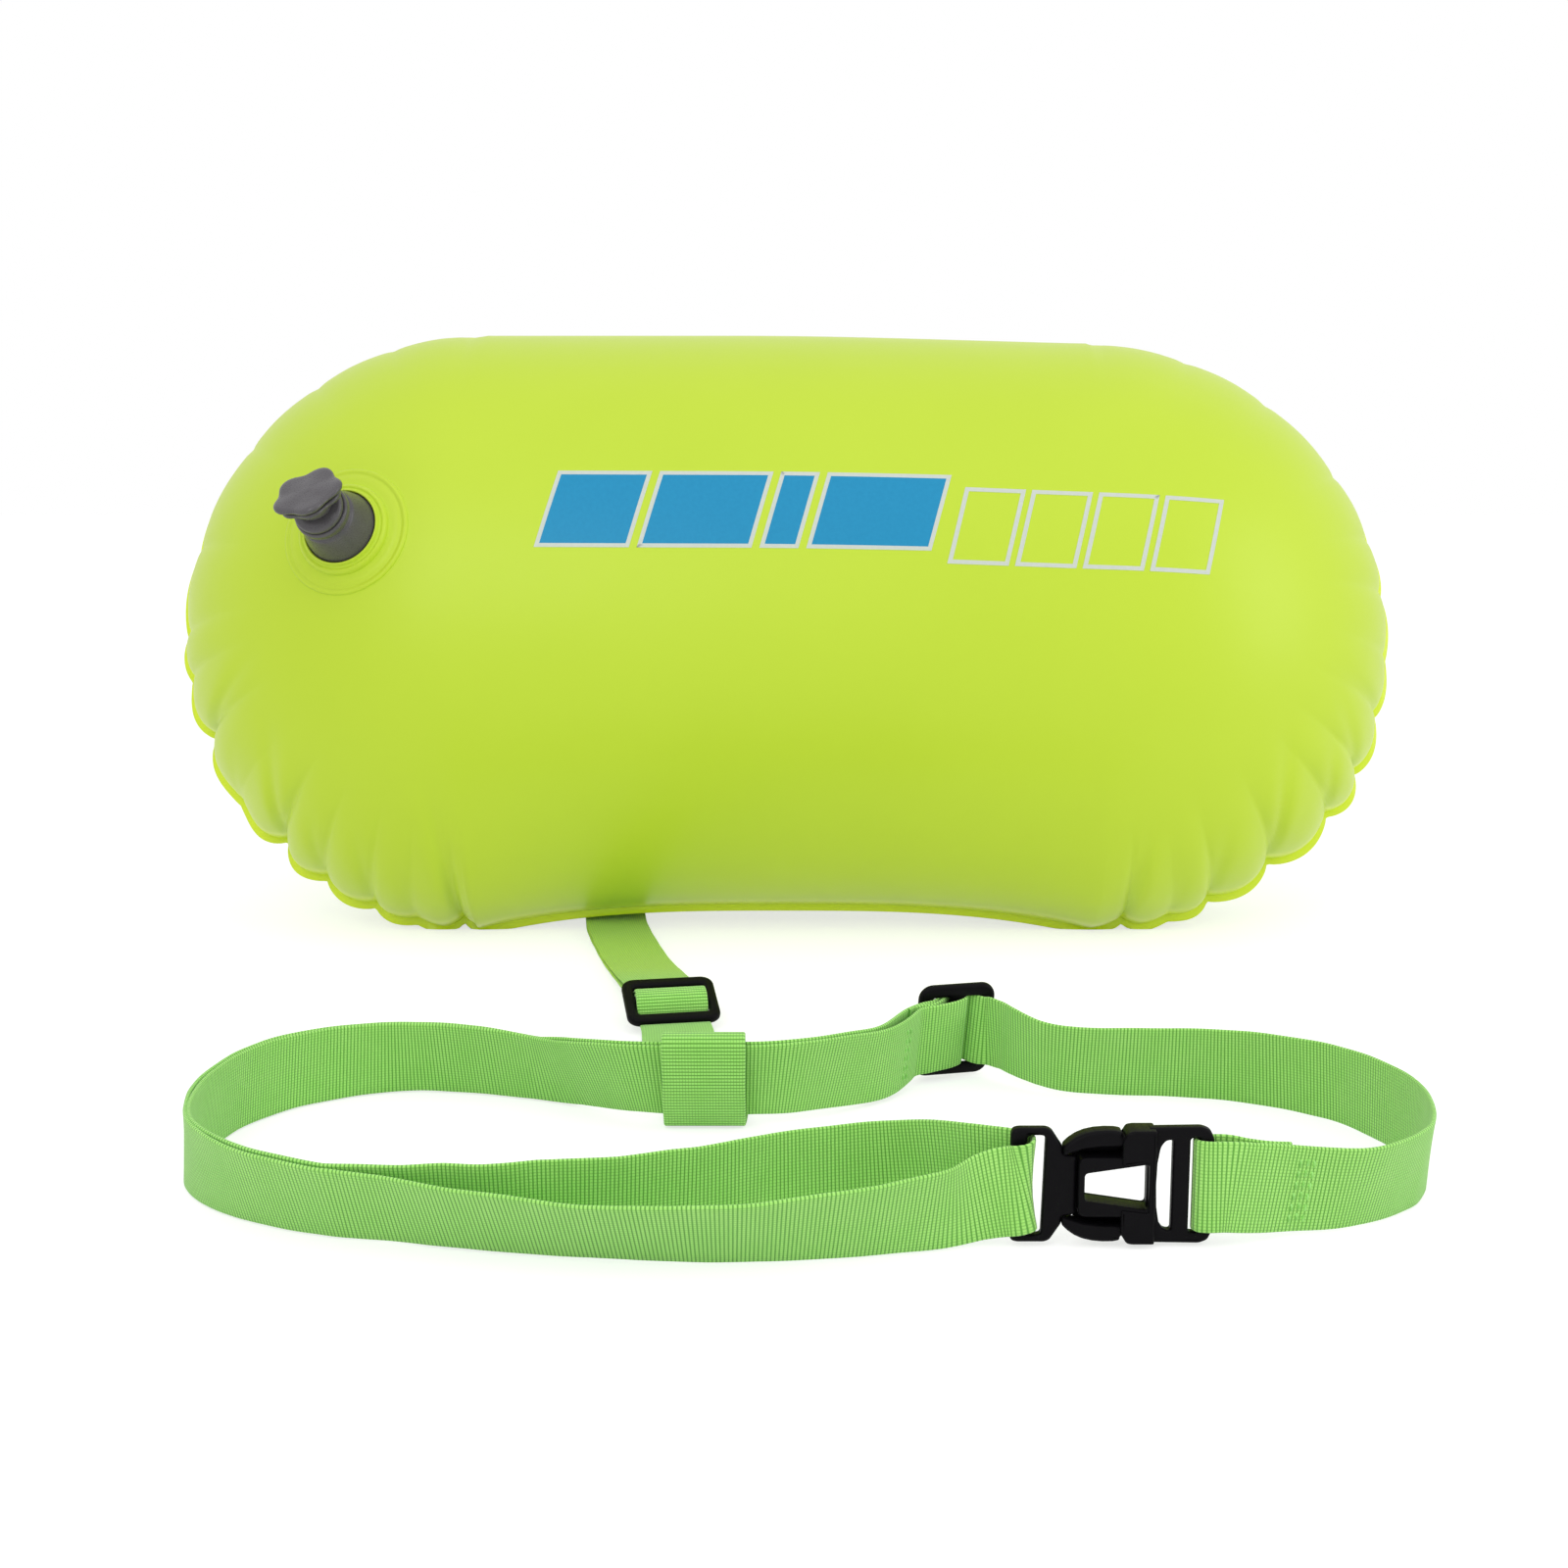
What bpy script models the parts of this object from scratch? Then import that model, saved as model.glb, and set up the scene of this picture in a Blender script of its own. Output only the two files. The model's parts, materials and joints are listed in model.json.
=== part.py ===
"""Open water swim buoy with its tether and waist belt, in metres, +Z up.

X runs along the bladder, -Y is the side that shows the valve and the belt, and Z = 0 is the
surface that it all stands on. The bladder leans back on its bottom edge, the belt stands on
edge in front of it, and the tether lies on the surface between them.
"""

import math

import bmesh
import bpy
from mathutils import Matrix, Vector
from mathutils.bvhtree import BVHTree

# General fits
FIT = 0.0003
OVERRUN = 0.004
JOIN = 0.00001
SHEET_JOIN = 0.00005
FLOOR_JOIN = 0.00002
SMALL_SIDES = 24
ROUND_SIDES = 32
LARGE_SIDES = 48

# Bladder: two welded sheets, blown up
BLADDER_LENGTH = 0.5025
BLADDER_HEIGHT = 0.250
BLADDER_DEPTH = 0.170
SHEET_THICKNESS = 0.0006
RIM_WIDTH = 0.0032
SCALLOP_DEPTH = 0.0036
CREASE_DEPTH = 0.006
ARCH_ROOM = 0.00009
SCALLOPS_PER_END = 12
STEPS_PER_SCALLOP = 3
SIDE_SHARES = (0.84, 0.50, 0.17, -0.17, -0.50, -0.84)
RING_SHARES = (1.0, 0.975, 0.91, 0.76, 0.50, 0.0)
CREASE_REACH_SHARE = 0.40
LEAN = math.radians(17.0)
SQUASH = 0.0024
BLADDER_Y = 0.1545

# Valve
VALVE_X_SHARE = -0.677
VALVE_Z_SHARE = 0.200
PATCH_RADIUS = 0.026
PATCH_THICKNESS = 0.0010
PATCH_EDGE = 0.0004
COLLAR_RADIUS = 0.0186
COLLAR_WALL = 0.0024
COLLAR_HEIGHT = 0.0044
COLLAR_SEAT = 0.0016
COLLAR_DEPTH = 0.0040
STEM_BASE_RADIUS = 0.0152
STEM_TOP_RADIUS = 0.0112
STEM_NECK_RADIUS = 0.0104
STEM_HEIGHT = 0.0205
STEM_FLANGE = 0.0026
STEM_RIM = 0.0016
STEM_SKIRT = 0.0060
STEM_SKIRT_WALL = 0.0014
BORE_RADIUS = 0.0075
SPIDER_THICKNESS = 0.0014
SPIDER_DROP = 0.0010
SPIDER_HOLES = 6
SPIDER_HOLE_RADIUS = 0.0015
SPIDER_HOLE_CIRCLE = 0.0045
FLAP_RADIUS = 0.0068
FLAP_THICKNESS = 0.0009
FLAP_STALK_RADIUS = 0.0011
FLAP_HEAD_RADIUS = 0.0023
FLAP_HEAD_THICKNESS = 0.0010
FLAP_TRAVEL = 0.0012
PLUG_LENGTH = 0.0140
PLUG_GROOVE = 0.0012
SEAL_WIRE_RADIUS = 0.0007
SEAL_UP = 0.0035
KNOB_NECK_RADIUS = 0.0098
KNOB_NECK_HEIGHT = 0.0036
KNOB_CORE_RADIUS = 0.0072
KNOB_PLATE = 0.0028
KNOB_GAP = 0.0016
KNOB_WING_RADIUS = 0.0126
KNOB_LOBE = 0.0024
KNOB_LOBES = 5
KNOB_LOWER_SHARE = 0.84
KNOB_EDGE = 0.0005
KNOB_STEPS_PER_LOBE = 10

# Webbing and the two three-bar sliders
WEB_WIDTH = 0.0250
WEB_THICKNESS = 0.0012
LAYER_SLACK = 0.0006
SLIDER_LENGTH = 0.0330
SLIDER_BAR_WIDTH = 0.0045
SLIDER_BAR_THICKNESS = 0.0030
SLIDER_SLOT = 0.0058
SLIDER_EDGE = 0.0012
SLIDER_CORNER = 0.0040
SEWN_TAIL = 0.0090
SEWN_SPREAD = 0.0100

# Buckle, 25 mm class, side release
BUCKLE_LENGTH = 0.0530
BUCKLE_HALF_HEIGHT = 0.0164
BUCKLE_BODY_DEPTH = 0.0100
MALE_HALF_HEIGHT = 0.0161
MALE_BAR_WIDTH = 0.0042
MALE_SLOT_END = 0.0086
MALE_FRAME_END = 0.0102
MALE_NECK_X = 0.0134
MALE_NECK_HALF = 0.0108
MALE_HUB_END = 0.0172
MALE_HUB_HALF = 0.0080
SLOT_HALF = 0.0140
PRONG_ROOT_Z = 0.0095
PRONG_CREST_Z = 0.0152
PRONG_DEPTH = 0.0064
PRONG_ARM = 0.0030
PRONG_REACH = 0.0078
PRONG_EDGE = 0.0004
# shares of the length to the shoulder, and of the height to the crest, along the outer side
PRONG_OUTER_SHARES = ((0.22, 0.62), (0.45, 0.92), (0.70, 1.0), (0.94, 0.99), (1.0, 0.93))
# shares of the length to the shoulder, and of the arm's width below the mouth, along the inner side
PRONG_INNER_SHARES = ((1.0, 0.85), (0.60, 0.85), (0.28, 1.15))
PRONG_TIP_SHARES = (0.35, 0.70)
BARB_HEIGHT = 0.0009
TONGUE_HALF = 0.0080
BLOCK_WIDTH = 0.0094
POCKET_LIP = 0.0020
POCKET_INNER_Z = 0.0088
POCKET_OUTER_Z = 0.0151
FRONT_SLOT = 0.0037
FRONT_BAR_WIDTH = 0.0039
WEB_SLOT = 0.0026
WEB_BAR_WIDTH = 0.0036
WINDOW_INSET = 0.0030
WINDOW_REACH = 0.0064
WINDOW_HALF_START = 0.0027
WINDOW_HALF_END = 0.0050
SEWN_END = 0.0180

# Belt loop on the surface. Shares are of the half span and of the depth behind the front edge
BELT_HALF_SPAN = 0.176
BELT_DEPTH = 0.155
BELT_FRONT = -0.2310
BUCKLE_X = 0.0590
BUCKLE_Y = -0.2180
BELT_SLIDER_X = 0.0548
BELT_SLIDER_Y = -0.0800
BELT_SLIDER_LEAN = math.radians(14.0)
BELT_SLIDER_YAW = math.radians(14.0)
SLEEVE_X = -0.0240
# each row: x share, y share, lean to the front in degrees, share of the lift of the fitting near it
BACK_RUN_SHARES = (
    (0.175, 0.865, 15.0, 0.3),
    (0.085, 0.785, 16.0, 0.7),
    (-0.010, 0.726, 17.0, 1.0),
    (-0.136, 0.722, 17.0, 1.0),
    (-0.262, 0.731, 17.0, 1.0),
    (-0.410, 0.835, 20.0, 0.2),
    (-0.660, 0.905, 15.0, 0.0),
    (-0.830, 0.835, 11.0, 0.0),
    (-0.935, 0.700, 5.0, 0.0),
    (-0.975, 0.530, 2.0, 0.0),
    (-0.970, 0.390, 8.0, 0.0),
    (-0.915, 0.270, 17.0, 0.0),
    (-0.800, 0.165, 23.0, 0.0),
    (-0.630, 0.095, 27.0, 0.0),
)
FRONT_OUTER_SHARES = (
    (-0.420, 0.045, 34.0, 0.0),
    (-0.290, 0.020, 38.0, 0.0),
    (-0.085, 0.000, 35.0, 0.0),
    (0.100, 0.022, 27.0, 0.0),
    (0.230, 0.058, 18.0, 0.2),
)
FRONT_INNER_SHARES = (
    (-0.440, 0.074, 27.0, 0.0),
    (-0.290, 0.086, 19.0, 0.0),
    (-0.130, 0.135, 8.0, 0.0),
    (0.020, 0.205, 2.0, 0.1),
    (0.180, 0.225, 0.0, 0.5),
)
RIGHT_RUN_SHARES = (
    (0.480, 0.930, 15.0, 0.2),
    (0.640, 0.900, 14.0, 0.0),
    (0.800, 0.845, 13.0, 0.0),
    (0.945, 0.720, 9.0, 0.0),
    (1.020, 0.555, 3.0, 0.0),
    (1.035, 0.420, 6.0, 0.0),
    (0.990, 0.270, 17.0, 0.0),
    (0.880, 0.170, 17.0, 0.3),
    (0.780, 0.135, 10.0, 0.7),
)
RUN_STEPS = 4

# Tether on the surface
TETHER_SLIDER_X = -0.0400
TETHER_SLIDER_Y = -0.0170
TETHER_SLIDER_Z = 0.0078
TETHER_PITCH = math.radians(20.0)
TETHER_YAW = math.radians(11.0)
ANCHOR_X_SHARE = -0.57822
ANCHOR_UP = 0.0300
ANCHOR_RADIUS = 0.0195
ANCHOR_THICKNESS = 0.0012
ANCHOR_BAR_WIDTH = 0.0090
ANCHOR_BAR_THICKNESS = 0.0020
ANCHOR_FOOT = 0.0040
ANCHOR_EDGE = 0.0006
SLEEVE_TAIL = 0.0130
SLEEVE_BEND = 0.0030
SLEEVE_EASE = 0.0013
# each row: x, y from the anchor's place, height over the surface of the upper layer's middle
TETHER_BACK = (
    (0.0170, -0.12335, 0.0029),
    (0.0080, -0.08335, 0.0026),
    (0.0035, -0.05835, 0.0026),
    (0.0013, -0.03535, 0.0026),
    (0.0004, -0.02035, 0.0027),
    (0.0001, -0.01435, 0.0038),
)
# each row: x, y from the tether slider's place, height over the surface of the single layer
TETHER_FRONT = ((-0.0345, -0.0400, 0.0010), (-0.0290, -0.0600, 0.0010))

# Sewing thread
THREAD_RADIUS = 0.00035
THREAD_GAP = 0.0003
THREAD_INSET = 0.0020
THREAD_ROWS = 4
THREAD_STEPS = 3
THREAD_LENGTH = 0.0060
THREAD_START = 0.0025

BEND_STEP = math.radians(30.0)
SPINE_HALF = (BLADDER_LENGTH - BLADDER_HEIGHT) / 2
BLADDER_RADIUS = BLADDER_HEIGHT / 2
HALF_DEPTH = BLADDER_DEPTH / 2
LAYER = WEB_THICKNESS + FIT
SLACK_LAYER = LAYER + LAYER_SLACK
BAR_NOSE = SLIDER_BAR_THICKNESS / 2
BAR_WRAP = BAR_NOSE + FIT + WEB_THICKNESS / 2
BUCKLE_WRAP = BAR_WRAP + FIT
FRONT_BAR_END = BUCKLE_LENGTH - WEB_BAR_WIDTH - WEB_SLOT
FRONT_BAR_START = FRONT_BAR_END - FRONT_BAR_WIDTH
BLOCK_END = FRONT_BAR_START - FRONT_SLOT
BLOCK_START = BLOCK_END - BLOCK_WIDTH
PRONG_TIP_X = BLOCK_START + PRONG_REACH
WINDOW_START = MALE_HUB_END + WINDOW_INSET
WINDOW_END = BLOCK_START + WINDOW_REACH
REST_HEIGHT = math.hypot(BLADDER_RADIUS * math.cos(LEAN), HALF_DEPTH * math.sin(LEAN)) - SQUASH


def arch_share(x):
    """How much of the arch's rise the bottom edge has at an X."""
    return max(0.0, 1.0 - abs(x / SPINE_HALF) ** 3)


def arch_rise():
    """The rise that clears the tether's two layers under the rim, and under the lowest line behind it."""
    strap = FIT + WEB_THICKNESS + SLACK_LAYER
    under_rim = (BLADDER_RADIUS + RIM_WIDTH) * math.cos(LEAN) - REST_HEIGHT + strap + ARCH_ROOM
    lowest = BLADDER_RADIUS * math.cos(LEAN) / (REST_HEIGHT + SQUASH)
    behind = (SQUASH + strap + FIT) / lowest / lowest
    edge = SPINE_HALF * ANCHOR_X_SHARE - WEB_WIDTH / 2
    return max(under_rim, behind) / arch_share(edge) / math.cos(LEAN)


ARCH_RISE = arch_rise()


def start_scene():
    for obj in list(bpy.data.objects):
        bpy.data.objects.remove(obj, do_unlink=True)
    parts = bpy.data.collections.new("swim_buoy")
    cutters = bpy.data.collections.new("cutters")
    for group in (parts, cutters):
        bpy.context.scene.collection.children.link(group)
    return parts, cutters


PARTS, CUTTERS = start_scene()


def plastic(name, colour, roughness, metallic=0.0):
    found = bpy.data.materials.get(name)
    if found:
        return found
    made = bpy.data.materials.new(name)
    made.use_nodes = True
    made.diffuse_color = (*colour, 1.0)
    shader = made.node_tree.nodes["Principled BSDF"]
    shader.inputs["Base Color"].default_value = (*colour, 1.0)
    shader.inputs["Roughness"].default_value = roughness
    shader.inputs["Metallic"].default_value = metallic
    return made


def lime_pvc():
    return plastic("lime_pvc", (0.56, 0.78, 0.06), 0.38)


def green_webbing():
    return plastic("green_webbing", (0.26, 0.72, 0.13), 0.85)


def black_acetal():
    return plastic("black_acetal", (0.006, 0.006, 0.007), 0.4)


def grey_plastic():
    return plastic("grey_plastic", (0.15, 0.14, 0.145), 0.45)


def silicone():
    return plastic("silicone", (0.75, 0.75, 0.72), 0.5)


def green_thread():
    return plastic("green_thread", (0.20, 0.62, 0.10), 0.8)


def empty(name, matrix):
    made = bpy.data.objects.new(name, None)
    PARTS.objects.link(made)
    made.matrix_world = matrix
    return made


def add_object(name, data, material, frame=None):
    made = bpy.data.objects.new(name, data)
    PARTS.objects.link(made)
    made.parent = frame
    if data.materials:
        data.materials.clear()
    data.materials.append(material)
    return made


def as_cutter(obj):
    PARTS.objects.unlink(obj)
    CUTTERS.objects.link(obj)
    obj.hide_render = True
    obj.display_type = "WIRE"
    return obj


def boolean(obj, other, operation):
    mod = obj.modifiers.new(operation.lower(), "BOOLEAN")
    mod.operation = operation
    mod.solver = "EXACT"
    mod.object = other
    return mod


def bevel(obj, width, segments=2, angle=40.0):
    mod = obj.modifiers.new("edges", "BEVEL")
    mod.width = width
    mod.segments = segments
    mod.limit_method = "ANGLE"
    mod.angle_limit = math.radians(angle)
    return mod


def mesh_from(name, build):
    mesh = bpy.data.meshes.new(name)
    bm = bmesh.new()
    build(bm)
    bm.to_mesh(mesh)
    bm.free()
    return mesh


def smooth(mesh, angle=35.0):
    mesh.shade_smooth()
    mesh.set_sharp_from_angle(angle=math.radians(angle))


def turned(name, profile, material, frame, steps=ROUND_SIDES):
    """A solid turned about the frame's Z. The profile runs down its outer side, at +X."""

    def build(bm):
        points = [bm.verts.new((r, 0.0, z)) for r, z in profile]
        closed = profile[0][0] > 0.0
        pairs = list(zip(points, points[1:] + points[:1])) if closed else list(zip(points, points[1:]))
        for a, b in pairs:
            bm.edges.new((a, b))

    made = add_object(name, mesh_from(name, build), material, frame)
    mod = made.modifiers.new("turn", "SCREW")
    mod.axis = "Z"
    mod.steps = steps
    mod.render_steps = steps
    mod.use_merge_vertices = True
    mod.merge_threshold = JOIN
    mod.use_smooth_shade = True
    return made


def box(name, low, high, material, frame):
    low, high = Vector(low), Vector(high)

    def build(bm):
        bmesh.ops.create_cube(bm, size=1.0)
        bmesh.ops.scale(bm, vec=high - low, verts=bm.verts)
        bmesh.ops.translate(bm, vec=(high + low) / 2, verts=bm.verts)

    return add_object(name, mesh_from(name, build), material, frame)


def cylinder(name, radius, low, high, material, frame, centre=(0.0, 0.0), sides=ROUND_SIDES):
    def build(bm):
        bmesh.ops.create_cone(
            bm, cap_ends=True, segments=sides, radius1=radius, radius2=radius, depth=high - low
        )
        bmesh.ops.translate(bm, vec=(centre[0], centre[1], (high + low) / 2), verts=bm.verts)

    return add_object(name, mesh_from(name, build), material, frame)


def rounded(corners, steps=3):
    """An outline's points. Each corner is (x, y, radius), and the outline is closed."""
    points = []
    for k, (x, y, radius) in enumerate(corners):
        here = Vector((x, y))
        if radius <= 0.0:
            points.append(here)
            continue
        before = (Vector(corners[k - 1][:2]) - here).normalized()
        after = (Vector(corners[(k + 1) % len(corners)][:2]) - here).normalized()
        half = before.angle(after) / 2
        reach = radius / math.tan(half)
        centre = here + (before + after).normalized() * radius / math.sin(half)
        first, last = here + before * reach - centre, here + after * reach - centre
        turn = first.angle_signed(last)
        for n in range(steps + 1):
            arm = first.copy()
            arm.rotate(Matrix.Rotation(-turn * n / steps, 2))
            points.append(centre + arm)
    return points


def turns_left(outline):
    """Twice the outline's area, positive when it runs counter-clockwise."""
    return sum(a[0] * b[1] - b[0] * a[1] for a, b in zip(outline, outline[1:] + outline[:1]))


def drawn_mesh(curve):
    """A curve's surface, with its caps joined on."""
    drawn = bpy.data.objects.new(curve.name + "_drawn", curve)
    PARTS.objects.link(drawn)
    bpy.context.view_layer.update()
    mesh = bpy.data.meshes.new_from_object(drawn.evaluated_get(bpy.context.evaluated_depsgraph_get()))
    bpy.data.objects.remove(drawn, do_unlink=True)
    bm = bmesh.new()
    bm.from_mesh(mesh)
    bmesh.ops.remove_doubles(bm, verts=bm.verts, dist=JOIN)
    return bm


def plate(name, outlines, thickness, material, frame, edge=0.0, across="XZ"):
    """A flat plate from a 2D curve: the first outline is its rim and the rest are its holes."""
    curve = bpy.data.curves.new(name, "CURVE")
    curve.dimensions = "2D"
    curve.fill_mode = "BOTH"
    curve.extrude = thickness / 2 - edge
    curve.bevel_depth = edge
    curve.bevel_resolution = 1
    curve.offset = -edge
    for n, outline in enumerate(outlines):
        if (turns_left(outline) > 0.0) == (n > 0):
            outline = outline[::-1]
        spline = curve.splines.new("POLY")
        spline.points.add(len(outline) - 1)
        for point, (x, y) in zip(spline.points, outline):
            point.co = (x, y, 0.0, 1.0)
        spline.use_cyclic_u = True
    bm = drawn_mesh(curve)
    if across == "XZ":
        bmesh.ops.rotate(bm, verts=bm.verts, matrix=Matrix.Rotation(math.pi / 2, 3, "X"))
    bmesh.ops.recalc_face_normals(bm, faces=bm.faces)
    mesh = bpy.data.meshes.new(name)
    bm.to_mesh(mesh)
    bm.free()
    return add_object(name, mesh, material, frame)


def smooth_step(share):
    share = min(max(share, 0.0), 1.0)
    return share * share * (3.0 - 2.0 * share)


def seam_stations():
    """Places round the seam: (spine x, direction, crease from 0 to 1)."""
    found = []
    around = SCALLOPS_PER_END * STEPS_PER_SCALLOP
    for end in (1.0, -1.0):
        for n in range(around + 1):
            angle = math.pi * (n / around - 0.5) + (0.0 if end > 0 else math.pi)
            phase = n / STEPS_PER_SCALLOP
            crease = 1.0 - abs(math.sin(math.pi * phase))
            found.append((end * SPINE_HALF, Vector((math.cos(angle), math.sin(angle))), crease))
        for share in SIDE_SHARES:
            found.append((end * SPINE_HALF * share, Vector((0.0, end)), 0.0))
    return found


def crown_point(spine_x, direction, crease, share, rim=0.0):
    """A point of the blown-up sheet, as (x, height, depth out of the seam plane)."""
    near_seam = smooth_step((share - 1.0 + CREASE_REACH_SHARE) / CREASE_REACH_SHARE)
    radius = (BLADDER_RADIUS - SCALLOP_DEPTH * crease * near_seam) * share + rim
    x = spine_x + direction.x * radius
    z = direction.y * radius
    low = max(0.0, -z / BLADDER_RADIUS)
    z += ARCH_RISE * arch_share(x) * low * low
    depth = HALF_DEPTH * math.sqrt(max(0.0, 1.0 - share * share))
    depth -= CREASE_DEPTH * crease * near_seam * min(1.0, depth / CREASE_DEPTH / 3.0)
    return x, z, depth


def crown_spot(x, z):
    """The crown's depth and outward direction at a place (x, height)."""

    def depth(x, z):
        out = max(0.0, abs(x) - SPINE_HALF)
        share = min(1.0, math.hypot(out, z) / BLADDER_RADIUS)
        return HALF_DEPTH * math.sqrt(1.0 - share * share)

    step = BLADDER_RADIUS / 1000.0
    here = depth(x, z)
    slope_x = (depth(x + step, z) - depth(x - step, z)) / step / 2.0
    slope_z = (depth(x, z + step) - depth(x, z - step)) / step / 2.0
    return here, Vector((-slope_x, -1.0, -slope_z)).normalized()


BLADDER_FRAME = Matrix.Translation((0.0, BLADDER_Y, REST_HEIGHT)) @ Matrix.Rotation(-LEAN, 4, "X")


def sheet_spot(sheet, x, z, front):
    """A frame on a sheet: X level, and Z out of the crown, or out of the facet at the back."""
    here, out = crown_spot(x, z)
    side = 1.0 if front else -1.0
    out = Vector((out.x, out.y * side, out.z))
    bm = bmesh.new()
    bm.from_mesh(sheet.data)
    tree = BVHTree.FromBMesh(bm)
    bm.free()
    start = Vector((x, -here * side, z)) + out * PATCH_RADIUS
    point, facet = tree.ray_cast(start, -out)[:2]
    if not front:
        out = facet
    level = Vector((-out.y, out.x, 0.0)).normalized()
    return Matrix.Translation(point) @ Matrix((level, out.cross(level), out)).transposed().to_4x4()


def valve_spot(sheet):
    place = (SPINE_HALF + BLADDER_RADIUS) * VALVE_X_SHARE
    return sheet_spot(sheet, place, BLADDER_RADIUS * VALVE_Z_SHARE, True)


def anchor_spot(sheet):
    return sheet_spot(sheet, SPINE_HALF * ANCHOR_X_SHARE, ANCHOR_UP - BLADDER_RADIUS, False)


def sheet_mesh(name, front):
    """One sheet's outer face, open along the rim: rings from the rim to the spine."""
    side = 1.0 if front else -1.0
    lift = FIT / 2 + SHEET_THICKNESS
    inward = BLADDER_FRAME.inverted()
    floor = inward @ Vector((0.0, 0.0, 0.0))
    up = inward.to_3x3() @ Vector((0.0, 0.0, 1.0))

    def build(bm):
        stations = seam_stations()
        rings = []
        for share, rim in [(1.0, RIM_WIDTH)] + [(share, 0.0) for share in RING_SHARES]:
            ring = []
            for station in stations:
                x, z, depth = crown_point(*station, share, rim)
                point = Vector((x, -side * (depth + lift), z))
                if rim:
                    point.z += max(0.0, FIT + (floor - point).dot(up)) / up.z
                ring.append(bm.verts.new(point))
            rings.append(ring)
        count = len(stations)
        for outer, inner in zip(rings, rings[1:]):
            for k in range(count):
                loop = [outer[k], outer[(k + 1) % count], inner[(k + 1) % count], inner[k]]
                bm.faces.new(loop if front else loop[::-1])
        bmesh.ops.remove_doubles(bm, verts=bm.verts, dist=SHEET_JOIN)
        bmesh.ops.triangulate(bm, faces=bm.faces)
        every = list(bm.verts) + list(bm.edges) + list(bm.faces)
        bmesh.ops.bisect_plane(bm, geom=every, dist=FLOOR_JOIN, plane_co=floor, plane_no=up)
        for vert in bm.verts:
            below = (vert.co - floor).dot(up)
            if below < 0.0:
                vert.co.z -= below / up.z
        bmesh.ops.triangulate(bm, faces=bm.faces)

    return mesh_from(name, build)


def layer_over(name, sheet, low, thickness, frame):
    """A cutter: the space between two heights over a sheet's outer face."""
    made = add_object(name, sheet.data.copy(), lime_pvc(), frame)
    mod = made.modifiers.new("layer", "SOLIDIFY")
    mod.thickness = thickness
    mod.offset = 1.0 + 2.0 * low / thickness
    return as_cutter(made)


def bladder_sheet(name, front, frame):
    made = add_object(name, sheet_mesh(name, front), lime_pvc(), frame)
    mod = made.modifiers.new("wall", "SOLIDIFY")
    mod.thickness = SHEET_THICKNESS
    mod.offset = -1.0
    smooth(made.data, 60.0)
    return made


# The valve's pieces stand in a frame whose Z comes out of the sheet


def welded_patch(name, sheet, radius, thickness, frame, bladder):
    """A round patch that follows the sheet it is welded to."""
    made = cylinder(name, radius, -radius / 2, radius / 2, lime_pvc(), frame, sides=LARGE_SIDES)
    boolean(made, layer_over(name + "_layer", sheet, FIT, thickness, bladder), "INTERSECT")
    return made


def valve_hole_radius():
    return BORE_RADIUS + STEM_SKIRT_WALL + 2 * FIT


def valve_base(sheet, frame, bladder):
    made = welded_patch("valve_base", sheet, PATCH_RADIUS, PATCH_THICKNESS, frame, bladder)
    inner = COLLAR_RADIUS - COLLAR_WALL
    hole = valve_hole_radius()
    far = PATCH_RADIUS / 2
    profile = [
        (0.0, COLLAR_HEIGHT),
        (COLLAR_RADIUS - PATCH_EDGE, COLLAR_HEIGHT),
        (COLLAR_RADIUS, COLLAR_HEIGHT - PATCH_EDGE),
        (COLLAR_RADIUS + PATCH_EDGE, -COLLAR_DEPTH),
        (0.0, -COLLAR_DEPTH),
    ]
    collar = turned("collar", profile, lime_pvc(), frame, LARGE_SIDES)
    sunk = FIT + PATCH_THICKNESS / 2
    above = layer_over("collar_layer", sheet, sunk, COLLAR_DEPTH + COLLAR_HEIGHT, bladder)
    boolean(collar, above, "INTERSECT")
    boolean(made, as_cutter(collar), "UNION")
    cup = [
        (0.0, far),
        (inner, far),
        (inner, COLLAR_SEAT),
        (hole, COLLAR_SEAT),
        (hole, -far),
        (0.0, -far),
    ]
    boolean(made, as_cutter(turned("cup", cup, lime_pvc(), frame, LARGE_SIDES)), "DIFFERENCE")
    return made


def stem_seat():
    return COLLAR_SEAT + FIT


def stem_top():
    return stem_seat() + STEM_HEIGHT


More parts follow.
